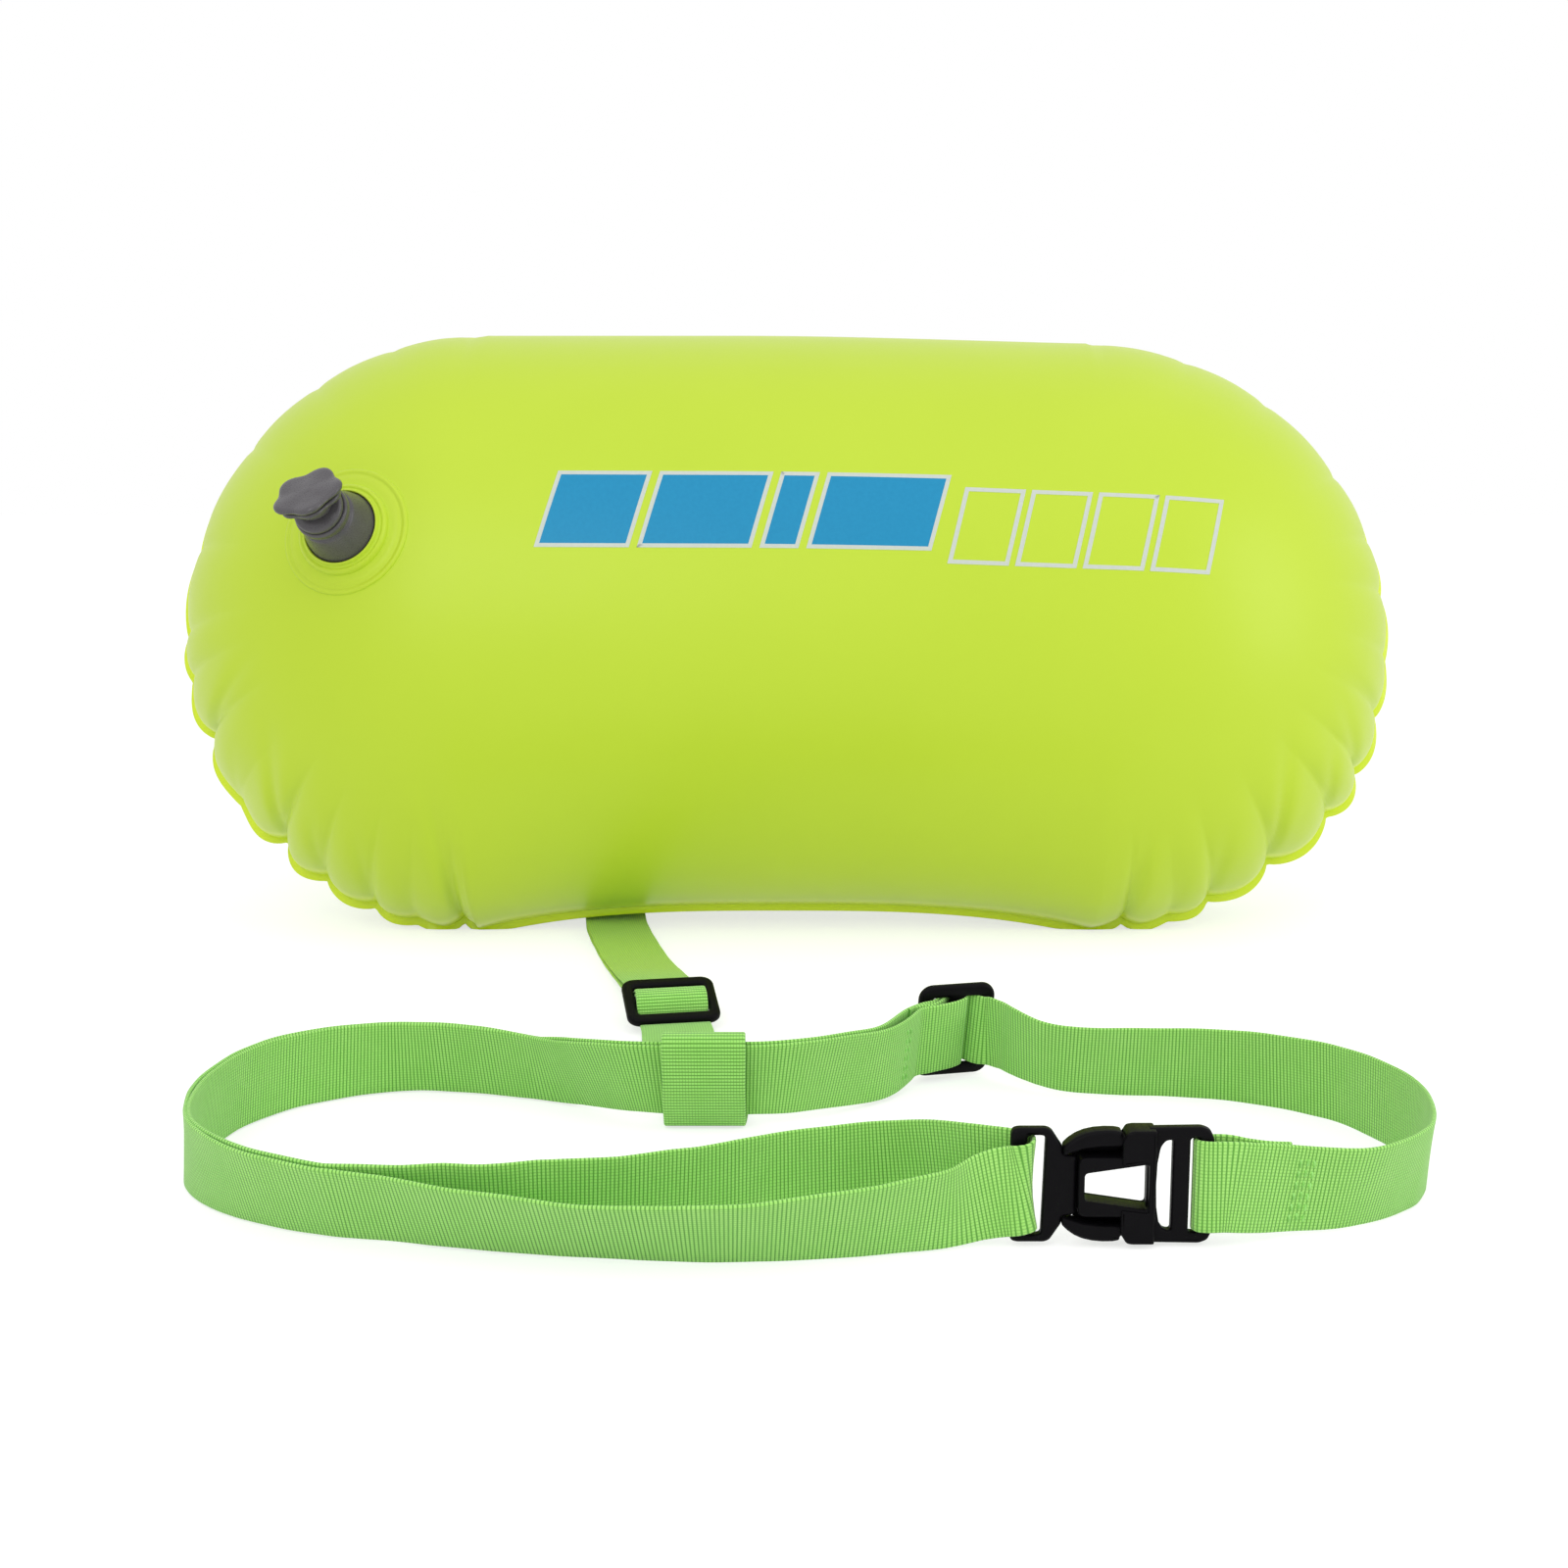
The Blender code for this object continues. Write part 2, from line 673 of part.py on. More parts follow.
def valve_stem(frame):
    seat, top = stem_seat(), stem_top()
    skirt = BORE_RADIUS + STEM_SKIRT_WALL
    flange = COLLAR_RADIUS - COLLAR_WALL - FIT
    web_top = -SPIDER_DROP
    profile = [
        (0.0, web_top),
        (BORE_RADIUS, web_top),
        (BORE_RADIUS, top - PATCH_EDGE),
        (BORE_RADIUS + PATCH_EDGE, top),
        (STEM_TOP_RADIUS - PATCH_EDGE, top),
        (STEM_TOP_RADIUS, top - PATCH_EDGE),
        (STEM_TOP_RADIUS, top - STEM_RIM),
        (STEM_NECK_RADIUS, top - STEM_RIM - PATCH_EDGE),
        (STEM_BASE_RADIUS, seat + STEM_FLANGE + PATCH_EDGE),
        (flange, seat + STEM_FLANGE),
        (flange, seat),
        (skirt, seat),
        (skirt, -STEM_SKIRT),
        (BORE_RADIUS, -STEM_SKIRT),
        (BORE_RADIUS, web_top - SPIDER_THICKNESS),
        (0.0, web_top - SPIDER_THICKNESS),
    ]
    made = turned("valve_stem", profile, grey_plastic(), frame, LARGE_SIDES)
    low, high = web_top - SPIDER_THICKNESS - OVERRUN / 2, web_top + OVERRUN / 2
    holes = [(0.0, 0.0, FLAP_STALK_RADIUS + FIT)]
    for n in range(SPIDER_HOLES):
        angle = 2 * math.pi * n / SPIDER_HOLES
        holes.append(
            (SPIDER_HOLE_CIRCLE * math.cos(angle), SPIDER_HOLE_CIRCLE * math.sin(angle), SPIDER_HOLE_RADIUS)
        )
    for n, (x, y, radius) in enumerate(holes):
        tool = cylinder(f"spider_hole_{n}", radius, low, high, grey_plastic(), frame, (x, y), SMALL_SIDES // 2)
        boolean(made, as_cutter(tool), "DIFFERENCE")
    return made


def check_flap(frame):
    web_top = -SPIDER_DROP
    web_low = web_top - SPIDER_THICKNESS
    top = web_top + FIT + FLAP_TRAVEL
    profile = [
        (0.0, top + FLAP_HEAD_THICKNESS),
        (FLAP_HEAD_RADIUS - FIT, top + FLAP_HEAD_THICKNESS),
        (FLAP_HEAD_RADIUS, top),
        (FLAP_STALK_RADIUS, top),
        (FLAP_STALK_RADIUS, web_low - FIT),
        (FLAP_RADIUS, web_low - FIT),
        (FLAP_RADIUS, web_low - FIT - FLAP_THICKNESS),
        (0.0, web_low - FIT - FLAP_THICKNESS),
    ]
    return turned("check_flap", profile, silicone(), frame, SMALL_SIDES)


def cap_levels():
    shoulder = stem_top() + FIT
    lower = shoulder + KNOB_NECK_HEIGHT
    upper = lower + KNOB_PLATE + KNOB_GAP
    return shoulder, lower, upper, upper + KNOB_PLATE


def wing_outline(radius, lobe):
    points = []
    steps = KNOB_STEPS_PER_LOBE * KNOB_LOBES
    for n in range(steps):
        angle = 2 * math.pi * n / steps
        r = radius + lobe * math.cos(KNOB_LOBES * angle)
        points.append((r * math.cos(angle), r * math.sin(angle)))
    return points


def valve_cap(frame):
    shoulder, lower, upper, top = cap_levels()
    plug = BORE_RADIUS - 2 * FIT
    low = stem_top() - PLUG_LENGTH
    groove = low + SEAL_UP
    half = SEAL_WIRE_RADIUS + FIT / 2
    profile = [
        (0.0, top - FIT),
        (KNOB_CORE_RADIUS, top - FIT),
        (KNOB_CORE_RADIUS, lower + KNOB_PLATE / 2),
        (KNOB_NECK_RADIUS, lower - PATCH_EDGE),
        (KNOB_NECK_RADIUS, shoulder),
        (plug, shoulder),
        (plug, groove + half),
        (plug - PLUG_GROOVE, groove + half),
        (plug - PLUG_GROOVE, groove - half),
        (plug, groove - half),
        (plug, low + PATCH_EDGE),
        (plug - PATCH_EDGE, low),
        (0.0, low),
    ]
    made = turned("valve_cap", profile, grey_plastic(), frame)
    for name, z, share in (("wing_lower", lower, KNOB_LOWER_SHARE), ("wing_upper", upper, 1.0)):
        outline = wing_outline(KNOB_WING_RADIUS * share, KNOB_LOBE * share)
        wing = plate(name, [outline], KNOB_PLATE, grey_plastic(), frame, KNOB_EDGE, across="XY")
        wing.data.transform(Matrix.Translation((0.0, 0.0, z + KNOB_PLATE / 2)))
        boolean(made, as_cutter(wing), "UNION")
    return made


def cap_seal(frame):
    groove = stem_top() - PLUG_LENGTH + SEAL_UP
    middle = BORE_RADIUS - 2 * FIT - PLUG_GROOVE + FIT / 2 + SEAL_WIRE_RADIUS
    ring = [
        (
            middle + SEAL_WIRE_RADIUS * math.cos(math.pi * n / 4),
            groove - SEAL_WIRE_RADIUS * math.sin(math.pi * n / 4),
        )
        for n in range(8)
    ]
    return turned("cap_seal", ring, silicone(), frame)


# Webbing: a sheet lofted through stations (centre, width direction), then given its thickness


class Station:
    def __init__(self, centre, width):
        self.centre = Vector(centre)
        self.width = Vector(width).normalized()


def tangents(stations):
    found = []
    for k in range(len(stations)):
        a = stations[max(k - 1, 0)].centre
        b = stations[min(k + 1, len(stations) - 1)].centre
        found.append((b - a).normalized())
    return found


def squared(stations):
    """The same stations with their width directions square to the route."""
    made = []
    for station, along in zip(stations, tangents(stations)):
        made.append(Station(station.centre, station.width - along * station.width.dot(along)))
    return made


def offset(stations, distances):
    """The stations moved to the left of the route, seen from the end of their width direction."""
    made = []
    for station, along, distance in zip(stations, tangents(stations), distances):
        left = station.width.cross(along).normalized()
        made.append(Station(station.centre + left * distance, station.width))
    return made


def webbing(name, stations):
    def build(bm):
        rows = []
        for station in squared(stations):
            arm = station.width * WEB_WIDTH / 2
            rows.append([bm.verts.new(station.centre - arm), bm.verts.new(station.centre + arm)])
        for a, b in zip(rows, rows[1:]):
            bm.faces.new((a[0], a[1], b[1], b[0]))

    made = add_object(name, mesh_from(name, build), green_webbing())
    mod = made.modifiers.new("thickness", "SOLIDIFY")
    mod.thickness = WEB_THICKNESS
    mod.offset = 0.0
    mod.use_even_offset = True
    smooth(made.data, 50.0)
    return made


def round_bars(pulleys):
    """A route in a plane round circles: each is (x, y, radius), positive with the circle on its left."""

    def right(direction):
        return Vector((direction.y, -direction.x))

    ways = []
    for (x1, y1, r1), (x2, y2, r2) in zip(pulleys, pulleys[1:]):
        line = Vector((x2 - x1, y2 - y1))
        turn = math.asin((r1 - r2) / line.length)
        ways.append(Matrix.Rotation(turn, 2) @ line.normalized())
    points = [Vector(pulleys[0][:2])]
    for (x, y, radius), way_in, way_out in zip(pulleys[1:-1], ways, ways[1:]):
        turn = math.atan2(way_in.x * way_out.y - way_in.y * way_out.x, way_in.dot(way_out))
        if radius > 0.0 and turn < -BEND_STEP / 3:
            turn += 2 * math.pi
        if radius < 0.0 and turn > BEND_STEP / 3:
            turn -= 2 * math.pi
        steps = max(1, round(abs(turn) / BEND_STEP))
        for n in range(steps + 1):
            way = Matrix.Rotation(turn * n / steps, 2) @ way_in
            points.append(Vector((x, y)) + right(way) * radius)
    points.append(Vector(pulleys[-1][:2]))
    return points


def in_frame(points, frame):
    """Stations of points in a frame's XY plane, with the webbing's width along its Z."""
    width = frame.to_3x3() @ Vector((0.0, 0.0, 1.0))
    return [Station(frame @ Vector((p.x, p.y, 0.0)), width) for p in points]


def through(before, controls, after, steps=RUN_STEPS):
    """A smooth run from the end of one list of stations to the start of another."""
    chain = [before[-2], before[-1], *controls, after[0], after[1]]
    made = []
    last = len(chain) - 3
    for k in range(1, last + 1):
        a, b, c, d = chain[k - 1 : k + 3]
        span = (c.centre - b.centre).length
        start = (c if k > 1 else b).centre - a.centre
        end = d.centre - (b if k < last else c).centre
        pull_b = start.normalized() * span
        pull_c = end.normalized() * span
        for n in range(steps):
            t = n / steps
            h1, h2 = 2 * t**3 - 3 * t**2 + 1, t**3 - 2 * t**2 + t
            h3, h4 = -2 * t**3 + 3 * t**2, t**3 - t**2
            centre = b.centre * h1 + pull_b * h2 + c.centre * h3 + pull_c * h4
            made.append(Station(centre, b.width.lerp(c.width, smooth_step(t))))
    return grounded(made[1:])


def grounded(stations):
    """The same stations, lifted where the webbing would pass below the surface."""
    made = []
    for station in squared(stations):
        flat = math.hypot(station.width.x, station.width.y)
        low = station.centre.z - abs(station.width.z) * WEB_WIDTH / 2 - flat * WEB_THICKNESS / 2
        lift = Vector((0.0, 0.0, max(0.0, -low)))
        made.append(Station(station.centre + lift, station.width))
    return made


# The belt's fittings


def slider_mesh():
    """A three-bar slider in its XZ plane: the bars run along Z, and the webbing along X."""
    half = 1.5 * SLIDER_BAR_WIDTH + SLIDER_SLOT
    tall = SLIDER_LENGTH / 2
    rim = rounded(
        [(x * half, z * tall, SLIDER_CORNER) for x, z in ((-1, -1), (1, -1), (1, 1), (-1, 1))]
    )
    holes = []
    slot = WEB_WIDTH / 2 + SLIDER_EDGE + FIT
    for side in (-1, 1):
        middle = side * (SLIDER_BAR_WIDTH + SLIDER_SLOT) / 2
        holes.append(
            rounded(
                [
                    (middle + x * SLIDER_SLOT / 2, z * slot, SLIDER_EDGE)
                    for x, z in ((-1, -1), (1, -1), (1, 1), (-1, 1))
                ],
                2,
            )
        )
    made = plate("slider", [rim, *holes], SLIDER_BAR_THICKNESS, black_acetal(), None, SLIDER_EDGE)
    mesh = made.data
    bpy.data.objects.remove(made, do_unlink=True)
    smooth(mesh, 50.0)
    return mesh


def nose_places():
    centre = SLIDER_BAR_WIDTH / 2 - BAR_NOSE
    outer = SLIDER_BAR_WIDTH / 2 + SLIDER_SLOT + BAR_NOSE
    return centre, outer


def sewn_loop(frame):
    """The webbing's sewn end: in from the left, round the centre bar, and out again on the left."""
    centre, outer = nose_places()
    left = -outer - SLIDER_BAR_WIDTH
    points = round_bars(
        [
            (left, -BAR_WRAP - SLACK_LAYER, 0.0),
            (-outer, 0.0, BAR_WRAP + LAYER),
            (-centre, 0.0, -BAR_WRAP),
            (centre, 0.0, -BAR_WRAP),
            (-outer, 0.0, -BAR_WRAP - 2 * LAYER),
            (left, -BAR_WRAP - 2 * SLACK_LAYER, 0.0),
        ]
    )
    return in_frame(points, frame)


def running_pass(frame):
    """The running webbing: over the left bar, behind the centre bar's loop, over the right bar."""
    centre, outer = nose_places()
    left = outer + SLIDER_BAR_WIDTH
    points = round_bars(
        [
            (-left, -BAR_WRAP, 0.0),
            (-outer, 0.0, BAR_WRAP),
            (-centre, 0.0, -BAR_WRAP - LAYER),
            (centre, 0.0, -BAR_WRAP - LAYER),
            (outer, 0.0, BAR_WRAP),
            (left, -BAR_WRAP, 0.0),
        ]
    )
    return in_frame(points, frame)


def belt_slider_frame():
    height = SLIDER_LENGTH / 2 * math.cos(BELT_SLIDER_LEAN) + BAR_NOSE * math.sin(BELT_SLIDER_LEAN)
    place = Matrix.Translation((BELT_SLIDER_X, BELT_SLIDER_Y, height + FIT))
    turn = Matrix.Rotation(BELT_SLIDER_YAW, 4, "Z") @ Matrix.Rotation(BELT_SLIDER_LEAN, 4, "X")
    return place @ turn


def buckle_frame():
    return Matrix.Translation((BUCKLE_X, BUCKLE_Y, BUCKLE_HALF_HEIGHT))


def buckle_lift():
    return BUCKLE_HALF_HEIGHT - WEB_WIDTH / 2


def sleeve_lift():
    return sleeve_wrap() + WEB_THICKNESS / 2 + FIT


def sleeve_wrap():
    """The radius at which the tether's sleeve turns round the two layers of belt."""
    return WEB_THICKNESS + SLACK_LAYER / 2 - WEB_THICKNESS / 2 + FIT + SLEEVE_EASE


def belt_stations(shares, lift):
    made = []
    for x_share, y_share, lean, lift_share in shares:
        lean = math.radians(lean)
        width = Vector((0.0, -math.sin(lean), math.cos(lean)))
        foot = Vector((x_share * BELT_HALF_SPAN, BELT_FRONT + y_share * BELT_DEPTH, 0.0))
        foot.z = lift_share * lift + WEB_THICKNESS / 2 * math.sin(lean)
        made.append(Station(foot + width * WEB_WIDTH / 2, width))
    return made


def male_wrap(frame):
    """The belt round the male bar: in on the far side, and out on the near side."""
    nose = MALE_BAR_WIDTH - BAR_NOSE
    points = round_bars(
        [(-OVERRUN, BUCKLE_WRAP, 0.0), (nose, 0.0, -BUCKLE_WRAP), (-OVERRUN, -BUCKLE_WRAP, 0.0)]
    )
    return in_frame(points, frame)


def female_wrap(frame):
    """The belt round the female bar: in on the near side, and back on the far side to its sewn end."""
    nose = BUCKLE_LENGTH - WEB_BAR_WIDTH + BAR_NOSE
    near = BUCKLE_LENGTH + OVERRUN
    points = round_bars(
        [
            (near, -BUCKLE_WRAP, 0.0),
            (nose, 0.0, -BUCKLE_WRAP),
            (near, BUCKLE_WRAP, 0.0),
        ]
    )
    return in_frame(points, frame)


def belt_route():
    """The belt is one length of webbing. Its parts are listed in the order that it runs."""
    slider, buckle = belt_slider_frame(), buckle_frame()
    loop, run = sewn_loop(slider), running_pass(slider)
    male, female = male_wrap(buckle), female_wrap(buckle)
    back = belt_stations(BACK_RUN_SHARES, sleeve_lift())
    outer_front = belt_stations(FRONT_OUTER_SHARES, buckle_lift())
    inner_front = belt_stations(FRONT_INNER_SHARES, buckle_lift())
    entering = run[::-1]
    double = entering[-1:] + through(entering, back[:-1], [back[-1], outer_front[0]])
    apart, passed = spread(double, 2 * SLACK_LAYER, WEB_WIDTH, SEWN_TAIL)
    inner = grounded(offset(double, apart))[1:]
    tail = [s for s, p in zip(offset(double, [SLACK_LAYER] * len(double)), passed) if p < SEWN_TAIL]
    double = double[1:]
    inner_run = through(inner, inner_front, male)
    outer_run = through(male, outer_front[::-1] + [back[-1]], double[::-1])
    right = through(run, belt_stations(RIGHT_RUN_SHARES, buckle_lift()), female) + female[:1]
    apart, passed = spread(right[::-1], 2 * BUCKLE_WRAP, SEWN_SPREAD)
    sewn = offset(right, [-a for a in apart[::-1]])[::-1]
    end = grounded([s for s, p in zip(sewn, passed) if p < SEWN_END])[1:]
    return {
        "tail": tail[1:],
        "loop": loop,
        "inner": inner,
        "inner_run": inner_run,
        "male": male,
        "outer_run": outer_run,
        "outer": double[::-1],
        "double": double,
        "run": run,
        "right": right[:-1],
        "female": female,
        "end": end,
        "slider": slider,
        "buckle": buckle,
    }


def belt_strap(route):
    stations = []
    stations += route["tail"][::-1]
    for part in ("loop", "inner", "inner_run", "male", "outer_run", "outer", "run", "right", "female", "end"):
        stations += route[part]
    return webbing("belt_strap", stations)


def male_outline():
    upper = [
        (MALE_HUB_END, MALE_HUB_HALF, FIT),
        (MALE_NECK_X, MALE_HUB_HALF, 0.0),
        (MALE_NECK_X, MALE_NECK_HALF, 0.0),
        (MALE_FRAME_END, MALE_HALF_HEIGHT, SLIDER_EDGE),
        (0.0, MALE_HALF_HEIGHT, SLIDER_CORNER / 2),
    ]
    return upper + [(x, -z, radius) for x, z, radius in upper[::-1]]


def slot_outline(low, high):
    return rounded(
        [
            (low, -SLOT_HALF, SLIDER_EDGE),
            (high, -SLOT_HALF, SLIDER_EDGE),
            (high, SLOT_HALF, SLIDER_EDGE),
            (low, SLOT_HALF, SLIDER_EDGE),
        ],
        2,
    )


def buckle_male(frame):
    outline = rounded(male_outline()[::-1])
    slot = slot_outline(MALE_BAR_WIDTH, MALE_SLOT_END)
    made = plate(
        "buckle_male", [outline, slot], SLIDER_BAR_THICKNESS, black_acetal(), frame, SLIDER_EDGE / 2
    )
    smooth(made.data, 50.0)
    return made


def prong_outline():
    """A spring arm in the frame of its root: out to its crest, in to its tip, with an outer barb."""
    crest = PRONG_CREST_Z - PRONG_ROOT_Z
    mouth = POCKET_OUTER_Z - BARB_HEIGHT - 2 * FIT - PRONG_ROOT_Z
    shoulder = BLOCK_START - MALE_NECK_X - 3 * FIT
    tip = PRONG_TIP_X - MALE_NECK_X
    lip = BLOCK_START + POCKET_LIP - MALE_NECK_X + FIT
    outer = [(shoulder * x_share, crest * z_share) for x_share, z_share in PRONG_OUTER_SHARES]
    barb = [
        (shoulder, mouth),
        (lip, mouth),
        (lip, mouth + BARB_HEIGHT),
        (lip + BARB_HEIGHT, mouth + BARB_HEIGHT),
    ]
    end = [(tip, mouth - PRONG_ARM * share) for share in PRONG_TIP_SHARES]
    inner = [(shoulder * x_share, mouth - PRONG_ARM * share) for x_share, share in PRONG_INNER_SHARES]
    root = [(FIT, -PRONG_ARM / 4), (FIT, PRONG_ARM / 4)]
    return (root[1:] + outer + barb + end + inner + root[:1])[::-1]


def buckle_prong(name, side, frame):
    """The prong's frame is its hinge line, which lies along the buckle's depth."""
    made = plate(name, [prong_outline()], PRONG_DEPTH, black_acetal(), frame, PRONG_EDGE)
    if side < 0:
        made.data.transform(Matrix.Scale(-1.0, 4, (0.0, 0.0, 1.0)))
        made.data.flip_normals()
    smooth(made.data, 40.0)
    return made


def buckle_female(frame):
    tongue = MALE_HUB_END + 2 * FIT
    rim = [
        (tongue, TONGUE_HALF, SLIDER_EDGE),
        (tongue, -TONGUE_HALF, SLIDER_EDGE),
        (BLOCK_START, -TONGUE_HALF, 0.0),
        (BLOCK_START, -MALE_HALF_HEIGHT, 0.0),
        (BUCKLE_LENGTH, -MALE_HALF_HEIGHT, SLIDER_CORNER / 2),
        (BUCKLE_LENGTH, MALE_HALF_HEIGHT, SLIDER_CORNER / 2),
        (BLOCK_START, MALE_HALF_HEIGHT, 0.0),
        (BLOCK_START, TONGUE_HALF, 0.0),
    ]
    window = rounded(
        [
            (WINDOW_START, -WINDOW_HALF_START, SLIDER_EDGE),
            (WINDOW_END, -WINDOW_HALF_END, SLIDER_EDGE / 2),
            (WINDOW_END, WINDOW_HALF_END, SLIDER_EDGE / 2),
            (WINDOW_START, WINDOW_HALF_START, SLIDER_EDGE),
        ],
        2,
    )
    holes = [
        window,
        slot_outline(BLOCK_END, FRONT_BAR_START),
        slot_outline(FRONT_BAR_END, BUCKLE_LENGTH - WEB_BAR_WIDTH),
    ]
    made = plate(
        "buckle_female", [rounded(rim), *holes], SLIDER_BAR_THICKNESS, black_acetal(), frame,
        SLIDER_EDGE / 2,
    )
    depth = BUCKLE_BODY_DEPTH / 2
    block = box(
        "block",
        (BLOCK_START, -depth, -BUCKLE_HALF_HEIGHT),
        (BLOCK_END, depth, BUCKLE_HALF_HEIGHT),
        black_acetal(),
        frame,
    )
    bevel(block, SLIDER_EDGE)
    boolean(made, as_cutter(block), "UNION")
    deep = PRONG_DEPTH / 2 + FIT
    mouth = POCKET_OUTER_Z - BARB_HEIGHT
    for side in (-1, 1):
        for name, x_low, x_high, z_high in (
            ("mouth", BLOCK_START - OVERRUN, BLOCK_START + POCKET_LIP + FIT, mouth),
            ("pocket", BLOCK_START + POCKET_LIP, PRONG_TIP_X + 2 * FIT, POCKET_OUTER_Z),
        ):
            near, far = sorted((side * POCKET_INNER_Z, side * z_high))
            tool = box(
                f"{name}_{side}", (x_low, -deep, near), (x_high, deep, far), black_acetal(), frame
            )
            boolean(made, as_cutter(tool), "DIFFERENCE")
    return made


# The tether


def tether_slider_frame():
    """X runs down the strap, from the bladder to the belt, and Y points up out of the slider."""
    along = Vector((math.sin(TETHER_YAW), -math.cos(TETHER_YAW), 0.0)) * math.cos(TETHER_PITCH)
    along.z = -math.sin(TETHER_PITCH)
    width = Vector((-math.cos(TETHER_YAW), -math.sin(TETHER_YAW), 0.0))
    up = width.cross(along)
    turn = Matrix((along, up, width)).transposed().to_4x4()
    return Matrix.Translation((TETHER_SLIDER_X, TETHER_SLIDER_Y, TETHER_SLIDER_Z)) @ turn


def anchor_bar_height():
    return FIT + ANCHOR_THICKNESS + 2 * FIT + WEB_THICKNESS + 2 * FIT + ANCHOR_BAR_THICKNESS / 2


def anchor_patch(sheet, frame, bladder):
    made = welded_patch("anchor_patch", sheet, ANCHOR_RADIUS, ANCHOR_THICKNESS, frame, bladder)
    height = anchor_bar_height()
    half = WEB_WIDTH / 2 + 2 * FIT
    top = height + ANCHOR_BAR_THICKNESS / 2
    long = ANCHOR_BAR_WIDTH / 2
    shelf = FIT + ANCHOR_THICKNESS / 2
    bridge = box(
        "bridge",
        (-half - ANCHOR_FOOT, -long, shelf),
        (half + ANCHOR_FOOT, long, top),
        lime_pvc(),
        frame,
    )
    gap = box(
        "bridge_gap",
        (-half, -long - OVERRUN, FIT + ANCHOR_THICKNESS),
        (half, long + OVERRUN, height - ANCHOR_BAR_THICKNESS / 2),
        lime_pvc(),
        frame,
    )
    boolean(bridge, as_cutter(gap), "DIFFERENCE")
    bevel(bridge, ANCHOR_EDGE)
    boolean(made, as_cutter(bridge), "UNION")
    return made


def anchor_wrap(anchor):
    """The tether round the anchor's bar: in on the outside, and back beside the patch."""
    axes = Matrix(((0, 0, 1, 0), (1, 0, 0, 0), (0, 1, 0, 0), (0, 0, 0, 1)))
    frame = anchor @ Matrix.Translation((0.0, 0.0, anchor_bar_height())) @ axes
    nose = (ANCHOR_BAR_WIDTH - ANCHOR_BAR_THICKNESS) / 2
    wrap = anchor_wrap_radius()
    start = -ANCHOR_BAR_WIDTH
    points = round_bars([(start, wrap, 0.0), (nose, 0.0, -wrap), (start, -wrap, 0.0)])
    return in_frame(points, frame)


def anchor_wrap_radius():
    return ANCHOR_BAR_THICKNESS / 2 + 2 * FIT + WEB_THICKNESS / 2


def lying(x, y, height):
    return Station((x, y, height), (-math.cos(TETHER_YAW), -math.sin(TETHER_YAW), 0.0))


def station_at(stations, x):
    """The place where a run crosses an X."""
    for a, b in zip(stations, stations[1:]):
        if (a.centre.x - x) * (b.centre.x - x) <= 0.0:
            share = (x - a.centre.x) / (b.centre.x - a.centre.x)
            return Station(a.centre.lerp(b.centre, share), a.width.lerp(b.width, share))
    raise ValueError("the run does not cross this X")


def sleeve_round(belt):
    """The tether's end round the belt: under it, up its front, over it and down behind."""
    middle = station_at(belt["double"], SLEEVE_X)
    inner = station_at(belt["inner"], SLEEVE_X)
    centre = (middle.centre + inner.centre) / 2
    arm = middle.width * WEB_WIDTH / 2
    low, high = centre - arm, centre + arm
    wrap = sleeve_wrap()
    floor = FIT + WEB_THICKNESS / 2
    tail = floor + LAYER
    points = round_bars(
        [
            (-low.y - 2 * SLEEVE_TAIL, floor, 0.0),
            (-low.y, low.z, wrap),
            (-high.y, high.z, wrap),
            (-low.y - wrap - SLEEVE_BEND, tail + SLEEVE_BEND, -SLEEVE_BEND),
            (-low.y - wrap - SLEEVE_BEND - SLEEVE_TAIL, tail, 0.0),
        ]
    )
    return [Station((SLEEVE_X, -point.x, point.y), (-1.0, 0.0, 0.0)) for point in points]


def spread(stations, near, reach, whole=0.0):
    """How far a second layer lies off a run, from its start: near at first, slack later."""
    passed = [0.0]
    for a, b in zip(stations, stations[1:]):
        passed.append(passed[-1] + (b.centre - a.centre).length)
    extra = near - SLACK_LAYER
    return [SLACK_LAYER + extra * (1.0 - smooth_step((p - whole) / reach)) for p in passed], passed


def tether_route(belt, anchor):
    """The tether is one length of webbing. Its parts are listed in the order that it runs."""
    slider = tether_slider_frame()
    loop, run, wrap = sewn_loop(slider), running_pass(slider), anchor_wrap(anchor)
    back = anchor.translation
    behind = [lying(back.x + x, back.y + y, z) for x, y, z in TETHER_BACK]
    upper = run[:1] + through(run[::-1], behind, wrap[::-1]) + wrap[-1:]
    near_slider, passed = spread(upper, 2 * SLACK_LAYER, SEWN_SPREAD, SEWN_TAIL)
    near_anchor = spread(upper[::-1], 2 * anchor_wrap_radius(), SEWN_SPREAD)[0][::-1]
    apart = [a + b - SLACK_LAYER for a, b in zip(near_slider, near_anchor)]
    lower = grounded(offset(upper, apart))
    tail = [s for s, p in zip(offset(upper, [SLACK_LAYER] * len(upper)), passed) if p < SEWN_TAIL]
    sleeve = sleeve_round(belt)
    before = [lying(x, TETHER_SLIDER_Y + y, z) for x, y, z in TETHER_FRONT]
    front = through(run, before, sleeve)
    return {
        "tail": tail[1:],
        "loop": loop,
        "lower": lower[1:-1],
        "wrap": wrap,
        "upper": upper[-2:0:-1],
        "run": run,
        "front": front,
        "sleeve": sleeve,
    }


def tether_strap(route):
    stations = []
    stations += route["tail"][::-1]
    for part in ("loop", "lower", "wrap", "upper", "run", "front", "sleeve"):
        stations += route[part]
    return webbing("tether_strap", stations)


